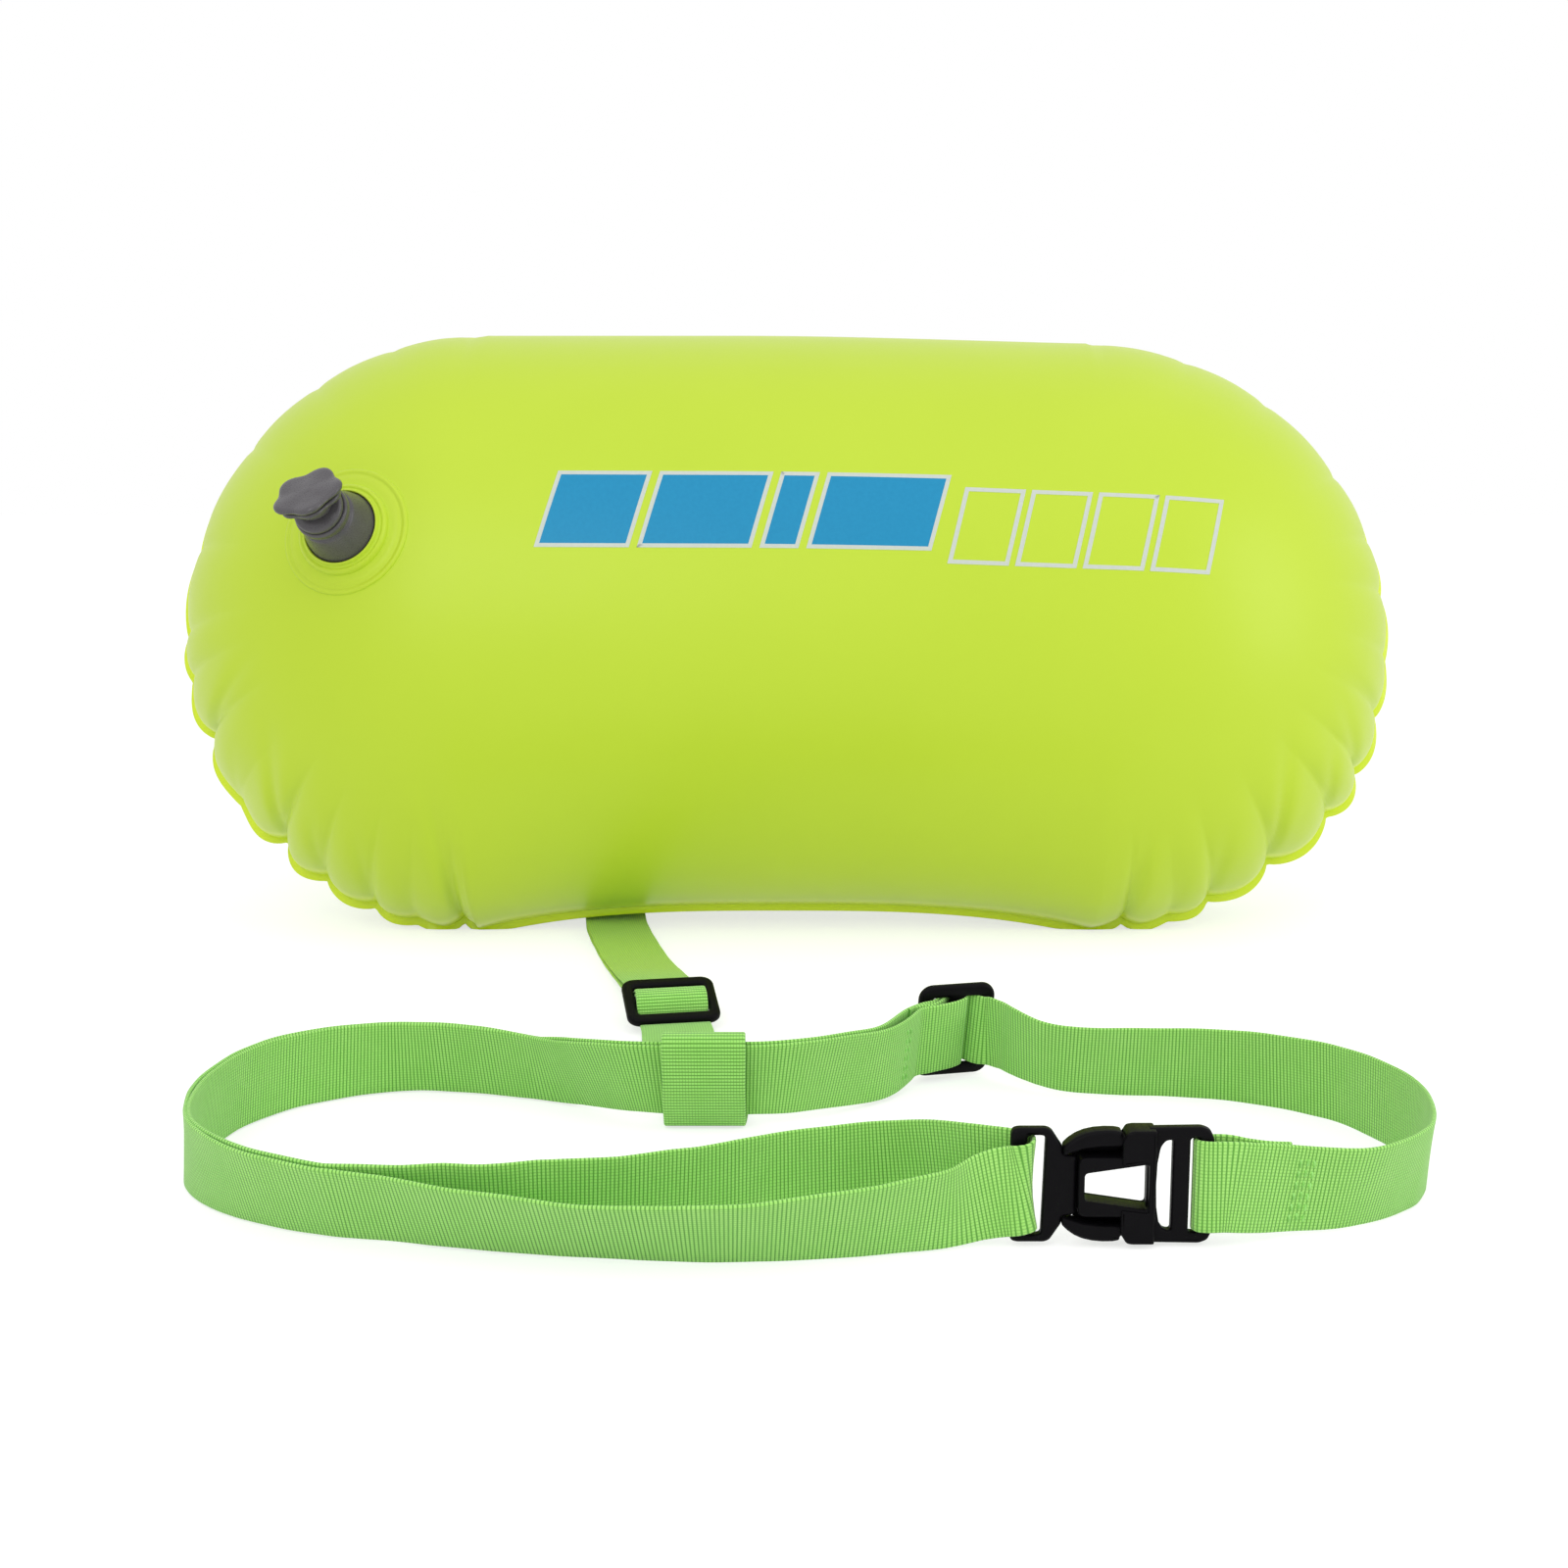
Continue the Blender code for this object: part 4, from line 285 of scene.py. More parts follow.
TETHER_ROUTE = (
    (-4281, -253, 698, -982, -191, 0), (-4188, -734, 696), (-4139, -985, 755), (-4033, -1529, 1022),
    (-4016, -1619, 1045), (-3998, -1711, 1031), (-3971, -1850, 980), (-3950, -1956, 900), (-3941, -2004, 774),
    (-3946, -1978, 642), (-3964, -1885, 546), (-3989, -1757, 515), (-4177, -791, 567), (-4183, -756, 570),
    (-4313, -190, 533, -981, -193, 0), (-4603, 1074, 436, -980, -198, 0), (-4924, 2469, 321, -979, -203, 0),
    (-5268, 3965, 205, -978, -209, 0), (-5608, 5450, 113, -977, -214, 0), (-5836, 6454, 74, -976, -218, 0),
    (-6060, 7447, 60, -975, -222, 0), (-6285, 8450, 60, -977, -215, 0), (-6500, 9451, 60, -979, -206, 0),
    (-6626, 10072, 60, -981, -193, 0), (-6746, 10697, 60, -984, -180, 0), (-6855, 11322, 60, -987, -161, 0),
    (-6950, 11950, 60, -991, -137, 0), (-7020, 12523, 60, -994, -109, 0), (-7076, 13098, 60, -996, -90, 0),
    (-7124, 13674, 60, -997, -81, 0), (-7170, 14250, 60, -997, -76, 0), (-7197, 14623, 61, -998, -66, -1),
    (-7219, 15000, 60, -998, -57, 0), (-7240, 15379, 63, -998, -56, 3), (-7262, 15759, 67, -998, -57, 6),
    (-7271, 15921, 74, -998, -60, 11), (-7281, 16090, 88, -998, -67, 19), (-7294, 16266, 125, -996, -87, 31),
    (-7310, 16452, 190, -993, -105, 48), (-7331, 16698, 293, -996, -76, 40), (-7338, 16931, 400, -1000, 10, 11),
    (-7325, 17115, 475, -997, 77, -27), (-7318, 17230, 514, -997, 72, -22), (-7245, 18380, 997), (-7240, 18470, 1067),
    (-7239, 18513, 1172), (-7243, 18498, 1285), (-7250, 18429, 1375), (-7259, 18324, 1418), (-7267, 18211, 1403),
    (-7339, 17061, 920, -997, 67, -25), (-7341, 16872, 805, -999, 2, -49), (-7327, 16703, 656, -997, -77, -27),
    (-7307, 16535, 504, -992, -121, 20), (-7290, 16350, 380, -994, -102, 49), (-7282, 16208, 326, -997, -61, 38),
    (-7275, 16058, 295, -999, -50, 22), (-7268, 15904, 279, -999, -50, 12), (-7260, 15750, 270, -999, -54, 6),
    (-7240, 15375, 257, -999, -54, 3), (-7220, 15000, 255, -998, -56, 0), (-7197, 14625, 258, -998, -66, -1),
    (-7170, 14250, 260, -997, -77, 0), (-7124, 13674, 259, -997, -81, 0), (-7076, 13098, 259, -996, -90, 0),
    (-7020, 12523, 260, -994, -109, 0), (-6950, 11950, 260, -991, -137, 0), (-6855, 11322, 259, -987, -161, 0),
    (-6746, 10696, 259, -984, -179, 0), (-6626, 10072, 258, -981, -193, 0), (-6500, 9450, 260, -979, -206, 0),
    (-6285, 8447, 252, -977, -215, 0), (-6060, 7446, 238, -975, -222, 0), (-5838, 6461, 245, -976, -218, 0),
    (-5614, 5477, 287, -977, -215, 0), (-5280, 4015, 400, -978, -209, 0), (-4936, 2521, 552, -979, -203, 0),
    (-4604, 1080, 709, -980, -198, 0), (-4286, -307, 845, -981, -193, 0), (-4187, -739, 881, -982, -191, 0),
    (-4169, -831, 867), (-4151, -921, 890), (-4046, -1465, 1157), (-4017, -1612, 1195), (-3988, -1762, 1172),
    (-3961, -1900, 1121), (-3936, -2030, 1040), (-3919, -2118, 915), (-3871, -2366, 355), (-3860, -2421, 297),
    (-3844, -2500, 288), (-3764, -2915, 264, -987, -162, 4), (-3667, -3585, 254, -993, -114, -3),
    (-3606, -4336, 250, -996, -86, -8), (-3545, -5098, 230, -994, -110, -8), (-3450, -5890, 220, -986, -169, -1),
    (-3339, -6486, 172, -970, -242, 0), (-3200, -7076, 142, -960, -280, 0), (-3048, -7663, 111, -958, -288, 0),
    (-2900, -8220, 105, -953, -304, 0), (-2754, -8705, 98, -939, -345, -1), (-2589, -9141, 96, -943, -332, -2),
    (-2455, -9582, 93, -977, -214, -1), (-2400, -10019, 90, -1000, -18, 0), (-2400, -12618, 77, -1000, 0, 0),
    (-2400, -12812, 140), (-2400, -12930, 307), (-2400, -13661, 2698), (-2400, -13667, 2866), (-2400, -13588, 3014),
    (-2400, -13446, 3103), (-2400, -13278, 3110), (-2400, -13130, 3031), (-2400, -13040, 2889), (-2400, -12281, 451),
    (-2400, -12172, 298), (-2400, -11994, 240), (-2400, -10694, 240),
)


# Materials


def srgb(code):
    """An sRGB hex colour as linear RGBA."""
    parts = [int(code[k : k + 2], 16) / 255 for k in (1, 3, 5)]
    return (*[c / 12.92 if c <= 0.04045 else ((c + 0.055) / 1.055) ** 2.4 for c in parts], 1.0)


def add(tree, kind, inputs=None, **settings):
    """A node with its settings; each input is a value or the socket that feeds it."""
    made = tree.nodes.new("ShaderNode" + kind)
    for key, value in settings.items():
        setattr(made, key, value)
    for key, value in (inputs or {}).items():
        if isinstance(value, bpy.types.NodeSocket):
            tree.links.new(value, made.inputs[key])
        else:
            made.inputs[key].default_value = value
    return made


def finish_of(name, colour, roughness, ior, **others):
    """A new material and its tree, with the values that are the same all over set on its shader."""
    made = bpy.data.materials.new(name)
    made.use_nodes = True
    shader = made.node_tree.nodes["Principled BSDF"]
    values = {"Base Color": srgb(colour), "Roughness": roughness, "IOR": ior}
    for key, value in {**values, **others}.items():
        shader.inputs[key.replace("_", " ")].default_value = value
    return made, made.node_tree


def fed(made, **sockets):
    """The material, with sockets linked to the inputs of its shader."""
    tree = made.node_tree
    for key, socket in sockets.items():
        tree.links.new(socket, tree.nodes["Principled BSDF"].inputs[key.replace("_", " ")])
    return made


def object_place(tree):
    return add(tree, "TexCoord").outputs["Object"]


def noise(tree, place, spot_mm, detail, **others):
    """Noise with spots of about this many mm."""
    inputs = {"Vector": place, "Scale": 1.0 / (spot_mm * MM), "Detail": detail, **others}
    return add(tree, "TexNoise", inputs).outputs[0]


def wave(tree, place, apart_mm, way):
    """Waves along X or Y, this many mm apart; their scale is 0.314 over their length."""
    inputs = {"Vector": place, "Scale": 0.31416 / (apart_mm * MM)}
    return add(tree, "TexWave", inputs, bands_direction=way).outputs["Fac"]


def mixed(tree, share, first, second, **settings):
    """A share of the way from one colour to another; each is a hex code or a socket."""
    first, second = [srgb(c) if isinstance(c, str) else c for c in (first, second)]
    return add(tree, "Mix", {"Factor": share, 6: first, 7: second}, data_type="RGBA", **settings).outputs[2]


def spread(tree, value, low, high, to_low, to_high, **settings):
    """A value's range spread over another one."""
    inputs = {"Value": value, "From Min": low, "From Max": high, "To Min": to_low, "To Max": to_high}
    return add(tree, "MapRange", inputs, **settings).outputs[0]


def bump(tree, height, strength, high_mm, **others):
    return add(tree, "Bump", {"Height": height, "Strength": strength, "Distance": high_mm * MM, **others}).outputs[0]


def calendered_pvc():
    """PVC sheet, calendered matt and welded by radio frequency: soft wide highlights over a fine grain,
    and a glossier weld, where the two sheets are melted together, whose brighter lime is painted light: a glow for the
    thin rim that faces down into shade."""
    made, tree = finish_of(
        "calendered_pvc", "#BFDD30", 0.42, 1.53,
        Sheen_Weight=0.20, Sheen_Roughness=0.5, Sheen_Tint=srgb("#F4F8D0"), Specular_IOR_Level=0.36,
    )
    place = object_place(tree)
    weld = add(tree, "Attribute", attribute_name="weld").outputs["Fac"]
    # clouds of 91 mm, 11 to a metre
    body = mixed(tree, noise(tree, place, 1000.0 / 11.0, 2.0), "#C6E034", "#BFDA2A")
    # the sheet's press grain is about 0.3 mm across, and is drawn at 0.8 mm so that it shows
    grain = noise(tree, place, 0.8, 3.0, Roughness=0.6)
    rough = spread(tree, grain, 0.3, 0.7, 0.37, 0.46)
    glossy = add(tree, "Mix", {"Factor": weld, 2: rough, 3: 0.30}, data_type="FLOAT").outputs[0]
    # slow waves of the film, 14 mm apart, under the grain
    film = bump(tree, noise(tree, place, 14.0, 1.0), 0.35, 0.35)
    normal = bump(tree, grain, 0.3, 0.05, Normal=film)
    # the weld's brighter lime is painted light, a glow standing in for the rim that faces down into shade
    return fed(made, Base_Color=mixed(tree, weld, body, "#DDF132"), Roughness=glossy, Normal=normal)


def woven_webbing(name, painted_bounce_tint=None):
    """Polypropylene webbing, woven: ribs run across it, and the long threads break them up, so it is
    dull, with painted shade in the groove beside each rib and a slow change between two greens."""
    light, dark, groove = "#B6F480", "#A3EA6C", "#62AA39"
    made, tree = finish_of(name, light, 0.82, 1.49, Sheen_Weight=0.25, Sheen_Roughness=0.6, Specular_IOR_Level=0.3)
    # the map is in metres along and across the strap
    parts = add(tree, "SeparateXYZ", {0: add(tree, "UVMap", uv_map="strap").outputs[0]}).outputs
    place = add(tree, "CombineXYZ", {0: parts[1], 1: parts[0]}).outputs[0]
    # ribs are 1.1 mm apart along the strap, and the long threads that break them up 0.9 mm apart
    ridge = spread(tree, wave(tree, place, 1.1, "Y"), 0.0, 0.5, 0.0, 1.0, interpolation_type="SMOOTHSTEP")
    thread = spread(tree, wave(tree, place, 0.9, "X"), 0.0, 0.4, 0.55, 1.0)
    height = add(tree, "Math", {0: ridge, 1: thread}, operation="MULTIPLY").outputs[0]
    tone = mixed(tree, noise(tree, place, 9.0, 2.0), light, dark)
    if painted_bounce_tint:
        # painted bounce light: a yellower tone grows from the tether's slider to the bladder, standing in for the lime
        # light that the bladder's sheets throw on the strap
        back = add(tree, "SeparateXYZ", {0: object_place(tree)}).outputs[1]
        tone = mixed(tree, spread(tree, back, -0.005, 0.040, 0.0, 1.0), tone, painted_bounce_tint)
    # painted shade: where the weave is low, between the ribs and the long threads, its colour goes to the groove's
    # darker green
    weave = mixed(tree, height, groove, tone)
    # yarns of 0.35 mm within a rib
    yarn = noise(tree, place, 0.35, 1.0)
    colour = mixed(tree, 1.0, weave, spread(tree, yarn, 0.25, 0.75, 0.93, 1.05), blend_type="MULTIPLY")
    fuzz = add(tree, "Math", {0: yarn, 1: 0.25, 2: height}, operation="MULTIPLY_ADD").outputs[0]
    return fed(made, Base_Color=colour, Normal=bump(tree, fuzz, 0.9, 0.16))


def sewing_thread():
    """Bonded polyester thread, twisted from three plies: a slight sheen and slanted twist lines."""
    made, tree = finish_of("sewing_thread", "#94DC68", 0.55, 1.55, Sheen_Weight=0.2)
    # the lines are 2 mm apart, as a slanted wave's length is 0.363 over its scale
    inputs = {"Vector": object_place(tree), "Scale": 1.0 / (5.4 * MM), "Distortion": 1.0}
    ply = add(tree, "TexWave", inputs, bands_direction="DIAGONAL").outputs["Fac"]
    return fed(made, Base_Color=mixed(tree, ply, "#86CF5A", "#A2E67A"), Normal=bump(tree, ply, 0.6, 0.06))


def moulded(name, colour, light, roughness, grain_mm, ior, **others):
    """Injection moulded plastic: an even colour with a fine spark-eroded texture and faint flow marks."""
    made, tree = finish_of(name, colour, roughness, ior, **others)
    place = object_place(tree)
    tint = mixed(tree, noise(tree, place, 7.0, 2.0, Distortion=1.5), colour, light)
    grain = noise(tree, place, grain_mm, 2.0)
    rough = spread(tree, grain, 0.3, 0.7, roughness - 0.06, roughness + 0.06)
    return fed(made, Base_Color=tint, Roughness=rough, Normal=bump(tree, grain, 0.35, 0.03))


def screen_ink(name, colour, light):
    """Screen printed ink on PVC: a thin flat film, a little duller than the sheet and faintly mottled."""
    made, tree = finish_of(name, colour, 0.40, 1.5, Specular_IOR_Level=0.25)
    mottle = noise(tree, object_place(tree), 1.5, 3.0)
    return fed(made, Base_Color=mixed(tree, mottle, colour, light), Normal=bump(tree, mottle, 0.2, 0.03))


# each with the material slot of the pieces that are made of it
PVC = calendered_pvc(), "pvc_lime"
WEBBING = woven_webbing("woven_polypropylene_webbing"), "webbing_green"
# the tether's webbing, with painted bounce light from the bladder's lime growing towards it
TETHER_WEBBING = woven_webbing("woven_polypropylene_webbing_painted_bounce", "#C8F32C"), "webbing_green"
THREAD = sewing_thread(), "thread_green"
ACETAL = moulded("moulded_acetal_black", "#09080A", "#0F0E11", 0.42, 0.5, 1.48, Specular_IOR_Level=0.07), "acetal_black"
VALVE_GREY = moulded("moulded_valve_grey", "#4A474B", "#555256", 0.30, 0.4, 1.5), "valve_grey"
SILICONE = moulded("moulded_silicone", "#DADAD4", "#E6E6E0", 0.5, 0.6, 1.41)
BLUE_INK = screen_ink("screen_ink_blue", "#1288B8", "#1C93C2"), "pvc_lime"
GREY_INK = screen_ink("screen_ink_pale_grey", "#C6CEC6", "#D2D8CF"), "pvc_lime"


# Mesh making


def link(made):
    bpy.context.scene.collection.objects.link(made)
    return made


def piece(name, points, faces, looks, body, *replaced):
    """A piece that rides on a body, and the CAD nodes it stands for; body is None where the piece is left on no body.
    """
    mesh = bpy.data.meshes.new(name)
    mesh.from_pydata([tuple(p) for p in points], [], faces)
    mesh.materials.append(looks[0])
    made = link(bpy.data.objects.new(name, mesh))
    if body:
        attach(made, body)
    if replaced:
        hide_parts(*replaced)
    return made


def shade(mesh, angle):
    """Smooth shading that keeps edges sharper than the angle."""
    mesh.shade_smooth()
    mesh.set_sharp_from_angle(angle=math.radians(angle))


def tidy_mesh(made, join=0.02 * MM, angle=40.0):
    """Joins doubled points, turns every face outward and keeps edges sharper than the angle."""
    bm = bmesh.new()
    bm.from_mesh(made.data)
    if join:
        bmesh.ops.remove_doubles(bm, verts=bm.verts, dist=join)
        bmesh.ops.dissolve_degenerate(bm, edges=bm.edges, dist=join)
    bmesh.ops.recalc_face_normals(bm, faces=bm.faces)
    bm.to_mesh(made.data)
    bm.free()
    shade(made.data, angle)
    return made


def grid_faces(rows, columns, wrap=False, base=0):
    """Quads of a grid stored row by row from a base; wrap joins each row's last point to its first."""
    return [
        (base + r * columns + c, base + r * columns + d, base + (r + 1) * columns + d, base + (r + 1) * columns + c)
        for r in range(rows - 1)
        for c, d in ((c, (c + 1) % columns) for c in range(columns if wrap else columns - 1))
    ]


def ring_faces(rows, columns):
    """Faces of a ring that is closed both ways."""
    return [tuple(i % (rows * columns) for i in face) for face in grid_faces(rows + 1, columns, True)]


def tube_faces(rows, columns, base=0):
    """Faces of a tube with both its ends filled."""
    last = base + (rows - 1) * columns
    ends = [tuple(range(base, base + columns)), tuple(range(last, last + columns))[::-1]]
    return grid_faces(rows, columns, True, base) + ends


def hoops(place, profile, steps):
    """Points on circles about a place's outward axis, one circle for each (radius, height)."""
    turns = [2 * math.pi * n / steps for n in range(steps)]
    return [place @ Vector((r * math.cos(a), r * math.sin(a), height)) for r, height in profile for a in turns]


def in_metres(profile):
    return [(radius * MM, height * MM) for radius, height in profile]


# Bladder


def seam_places():
    """Round the seam, counter-clockwise seen from the front: spine x, direction, degrees below level."""
    found = []
    for end in (1.0, -1.0):
        for n in range(END_STEPS):
            angle = math.pi * (n / END_STEPS - 0.5) + (0.0 if end > 0 else math.pi)
            below = -math.degrees(math.asin(max(-1.0, min(1.0, math.sin(angle)))))
            found.append((end * SPINE_HALF, math.cos(angle), math.sin(angle), below, end))
        for n in range(SIDE_STEPS):
            share = 1.0 - 2.0 * n / SIDE_STEPS
            found.append((end * SPINE_HALF * share, 0.0, end, -90.0 * end, 0.0))
    return np.array(found)


def pucker_pull(places):
    """How far the seam is pulled in at each place: a cusp at each pucker, and a full curve between."""
    pull = np.zeros(len(places))
    for end, table in ((1.0, PUCKERS_RIGHT), (-1.0, PUCKERS_LEFT)):
        here = places[:, 4] == end
        below = places[:, 3]
        # the seam is even again past the first and the last pucker
        rows = [(-104.0, 0.0), *(row[:2] for row in table), (100.0, 0.0)]
        for (a, depth_a), (b, depth_b) in zip(rows, rows[1:]):
            inside = here & (below >= a) & (below < b)
            phase = (below[inside] - a) / (b - a)
            full = np.sin(np.pi * phase) ** PUCKER_FULLNESS
            depth = depth_a + (depth_b - depth_a) * phase
            pull[inside] = depth * (1.0 - full)
    middle, most, wide = SWELL_RIGHT
    right = places[:, 4] > 0.0
    return pull * MM - right * most * np.exp(-(((places[:, 3] - middle) / wide) ** 2))


def smooth_step(t):
    t = np.clip(t, 0.0, 1.0)
    return t * t * (3.0 - 2.0 * t)


def laid(local):
    """The bladder's points as it lies: its right end sags a little, and its left end is a little shorter."""
    made = local @ np.array(BLADDER.to_3x3()).T + np.array(BLADDER.translation)
    x = made[..., 0].copy()
    made[..., 2] *= 1.0 - SAG * smooth_step((x - SAG_FROM) / SAG_OVER)
    made[..., 0] = x + SHORTER * smooth_step((SHORTER_FROM - x) / SHORTER_OVER)
    return made


def arched(x, z):
    """How far the underside arches up between the places where the bladder rests."""
    low = np.maximum(0.0, -z / RADIUS)
    return ARCH_RISE * np.maximum(0.0, 1.0 - np.abs(x / SPINE_HALF) ** 3) * low * low


def crown_depth(x, z):
    """The depth of the blown-up sheet over the seam's plane, without its creases."""
    out = np.maximum(0.0, np.abs(x) - SPINE_HALF)
    share = np.minimum(1.0, np.hypot(out, z) / RADIUS)
    return HALF_DEPTH * np.sqrt(1.0 - share * share)


def creases(x, z):
    """How far the sheet sinks at the creases that run up from the puckers, and swells between them."""
    sunk = np.zeros_like(x)
    swell_share, swell_at, swell_wide = CREASE_SWELL
    for end, table in ((1.0, PUCKERS_RIGHT), (-1.0, PUCKERS_LEFT)):
        for below, pull, length, depth in table:
            angle = math.radians(below)
            radius = RADIUS - pull * MM
            start_x = end * (SPINE_HALF + math.cos(angle) * radius)
            start_z = -math.sin(angle) * radius
            # low creases stand nearly upright, and the rest run in towards the middle
            upright = CREASE_UPRIGHT * float(smooth_step((below - UPRIGHT_FROM) / UPRIGHT_OVER))
            way = Vector((-end * math.cos(angle), math.sin(angle)))
            up = Vector((end * CREASE_TILT, 1.0))
            way = (way.normalized() * (1.0 - upright) + up.normalized() * upright).normalized()
            dx, dz = x - start_x, z - start_z
            along = dx * way.x + dz * way.y
            across = dx * way.y - dz * way.x
            reach = length * MM
            share = np.clip(along / reach, 0.0, 1.0)
            wide = CREASE_WIDTH * (CREASE_START + CREASE_GAIN * share)
            near = smooth_step(along / CREASE_LEAD + 1.0)
            valley = np.exp(-((across / wide) ** 2))
            swell = np.exp(-(((np.abs(across) - swell_at * wide) / (swell_wide * wide)) ** 2))
            fade = (1.0 - share) ** CREASE_FADE * near
            sunk += depth * MM * fade * (valley - swell_share * swell)
    return sunk


def bladder_points():
    """Rings of the closed skin: in front from the spine to the seam, round the weld, and back."""
    places = seam_places()
    spine, dir_x, dir_z = places[:, 0], places[:, 1], places[:, 2]
    pull = pucker_pull(places)
    turn = (np.arange(RINGS + 1) / RINGS) ** RING_POWER * math.pi / 2
    shares = np.cos(turn)[::-1]
    rings, welds = [], []

    def ring(share, rim, side, lift):
        near = smooth_step((share - PUCKER_FROM) / (1.0 - PUCKER_FROM))
        radius = (RADIUS - pull * near) * share + rim
        x = spine + dir_x * radius
        z = dir_z * radius
        depth = np.full(x.shape, HALF_DEPTH * math.sqrt(max(0.0, 1.0 - share * share)))
        sunk = creases(x, z) * np.minimum(1.0, depth / CREASE_DEEP) if rim <= 0.0 else 0.0
        depth = np.maximum(depth - sunk, 0.0) + lift
        return np.stack([x, -side * depth, z + arched(x, z)], axis=1)

    for side, order in ((1.0, shares), (-1.0, shares[::-1])):
        for share in order:
            rings.append(ring(share, 0.0, side, SHEET_LIFT))
            welds.append(smooth_step((share - WELD_FROM) / WELD_FADE))
        if side > 0:
            flat, back = WELD_WIDTH - WELD_EDGE, SHEET_LIFT * 2
            for rim, drop in (
                (WELD_FOOT, 0.0), (flat, 0.0), (WELD_WIDTH, WELD_EDGE), (WELD_WIDTH, back - WELD_EDGE), (flat, back),
                (WELD_FOOT, back),
            ):
                rings.append(ring(1.0, rim, 1.0, SHEET_LIFT - drop))
                welds.append(1.0)
    return np.array(rings), welds


def make_bladder():
    rings, welds = bladder_points()
    rows, count = rings.shape[:2]
    world = laid(rings.reshape(-1, 3))
    world[:, 2] = np.maximum(world[:, 2], 0.0)
    made = piece("bladder", world, grid_faces(rows, count, True), PVC, "buoy", "front_panel", "back_panel")
    weld = made.data.attributes.new("weld", "FLOAT", "POINT")
    weld.data.foreach_set("value", np.repeat(np.array(welds, np.float32), count))
    tidy_mesh(made, 0.04 * MM, 62.0)
    return made


def tree_of(made):
    bm = bmesh.new()
    bm.from_mesh(made.data)
    found = BVHTree.FromBMesh(bm)
    bm.free()
    return found


def basis(at, out, level):
    out, level = Vector(out).normalized(), Vector(level)
    level = (level - out * level.dot(out)).normalized()
    return Matrix.Translation(at) @ Matrix((level, out.cross(level), out)).transposed().to_4x4()


def landed(tree, place, x, y, lift):
    """A place's point (x, y) let down on the bladder, and lifted off it by a distance."""
    out = place.to_3x3() @ Vector((0.0, 0.0, 1.0))
    point = tree.ray_cast(place @ Vector((x, y, PATCH_RADIUS)), -out)[0]
    if point is None:
        point = place @ Vector((x, y, 0.0))
    return point + out * lift


def round_patch(name, tree, place, rows, replaced, steps):
    """A round patch welded on the bladder: rows are (radius, height over the sheet)."""
    points = [landed(tree, place, *p) for p in hoops(Matrix(), rows, steps)]
    tidy_mesh(piece(name, points, ring_faces(len(rows), steps), PVC, "buoy", replaced), angle=50.0)


def turned(name, profile, place, looks, steps, *replaced):
    """A ring turned about a place's outward axis from a closed outline of (radius, height) points."""
    points = hoops(place, profile, steps)
    tidy_mesh(piece(name, points, ring_faces(len(profile), steps), looks, "buoy", *replaced), angle=32.0)


def softened(profile, radius, steps=3):
    """A closed outline with its corners rounded."""
    points = [Vector(p) for p in profile]
    made = []
    for k, here in enumerate(points):
        before, after = points[k - 1] - here, points[(k + 1) % len(points)] - here
        reach = min(radius, before.length * 0.45, after.length * 0.45)
        # a short edge or a nearly straight corner stays as it is
        if reach < 0.03 * MM or before.angle(after) > math.radians(170.0):
            made.append(here)
            continue
        a, b = here + before.normalized() * reach, here + after.normalized() * reach
        for n in range(steps + 1):
            t = n / steps
            made.append(a * (1 - t) ** 2 + here * 2 * t * (1 - t) + b * t * t)
    return made


# Webbing


def strap_line(route):
    """A route's even places: centres, width directions, outward directions and distances."""
    rows = []
    for place in route:
        rows.append(place if len(place) == 6 else (*place, *rows[-1][3:]))
    rows = np.array(rows, float)
    centre, width = rows[:, :3] * (0.01 * MM), rows[:, 3:]
    span = np.linalg.norm(np.diff(centre, axis=0), axis=1)
    step = np.diff(centre, axis=0) / span[:, None]
    way = np.empty_like(centre)
    way[0], way[-1] = step[0], step[-1]
    way[1:-1] = step[:-1] * span[1:, None] + step[1:] * span[:-1, None]
    way /= np.linalg.norm(way, axis=1)[:, None]
    centres, widths, marks = [], [], []
    for k, length in enumerate(span):
        count = max(1, math.ceil(length / STRAP_STEP))
        t = (np.arange(count) / count)[:, None]
        pull_a, pull_b = way[k] * length, way[k + 1] * length
        centres.append(
            centre[k] * (2 * t**3 - 3 * t**2 + 1)
            + pull_a * (t**3 - 2 * t**2 + t)
            + centre[k + 1] * (3 * t**2 - 2 * t**3)
            + pull_b * (t**3 - t**2)
        )
        widths.append(width[k] * (1 - t) + width[k + 1] * t)
        marks.append(sum(len(c) for c in centres[:-1]))
    centres.append(centre[-1:])
    widths.append(width[-1:])
    marks.append(sum(len(c) for c in centres[:-1]))
    centres, widths = np.concatenate(centres), np.concatenate(widths)
    along = np.gradient(centres, axis=0)
    along /= np.linalg.norm(along, axis=1)[:, None]
    widths -= along * np.sum(widths * along, axis=1)[:, None]
    widths /= np.linalg.norm(widths, axis=1)[:, None]
    outs = np.cross(widths, along)
    passed = np.concatenate([[0.0], np.cumsum(np.linalg.norm(np.diff(centres, axis=0), axis=1))])
    return {"centres": centres, "widths": widths, "outs": outs, "passed": passed, "marks": marks}


def strap_outline():
    """The webbing's section, as (across, off the middle): flat faces and round selvedges."""
    half, thick = WEB_WIDTH / 2, WEB_THICKNESS / 2
    flat = np.linspace(-half + thick, half - thick, STRAP_COLUMNS)
    corner = [math.radians(a) for a in (60.0, 20.0, -20.0, -60.0)]
    top = [(x, thick) for x in flat]
    right = [(half - thick + thick * math.cos(a), thick * math.sin(a)) for a in corner]
    bottom = [(x, -thick) for x in flat[::-1]]
    left = [(-x, -y) for x, y in right]
    return np.array(top + right + bottom + left)


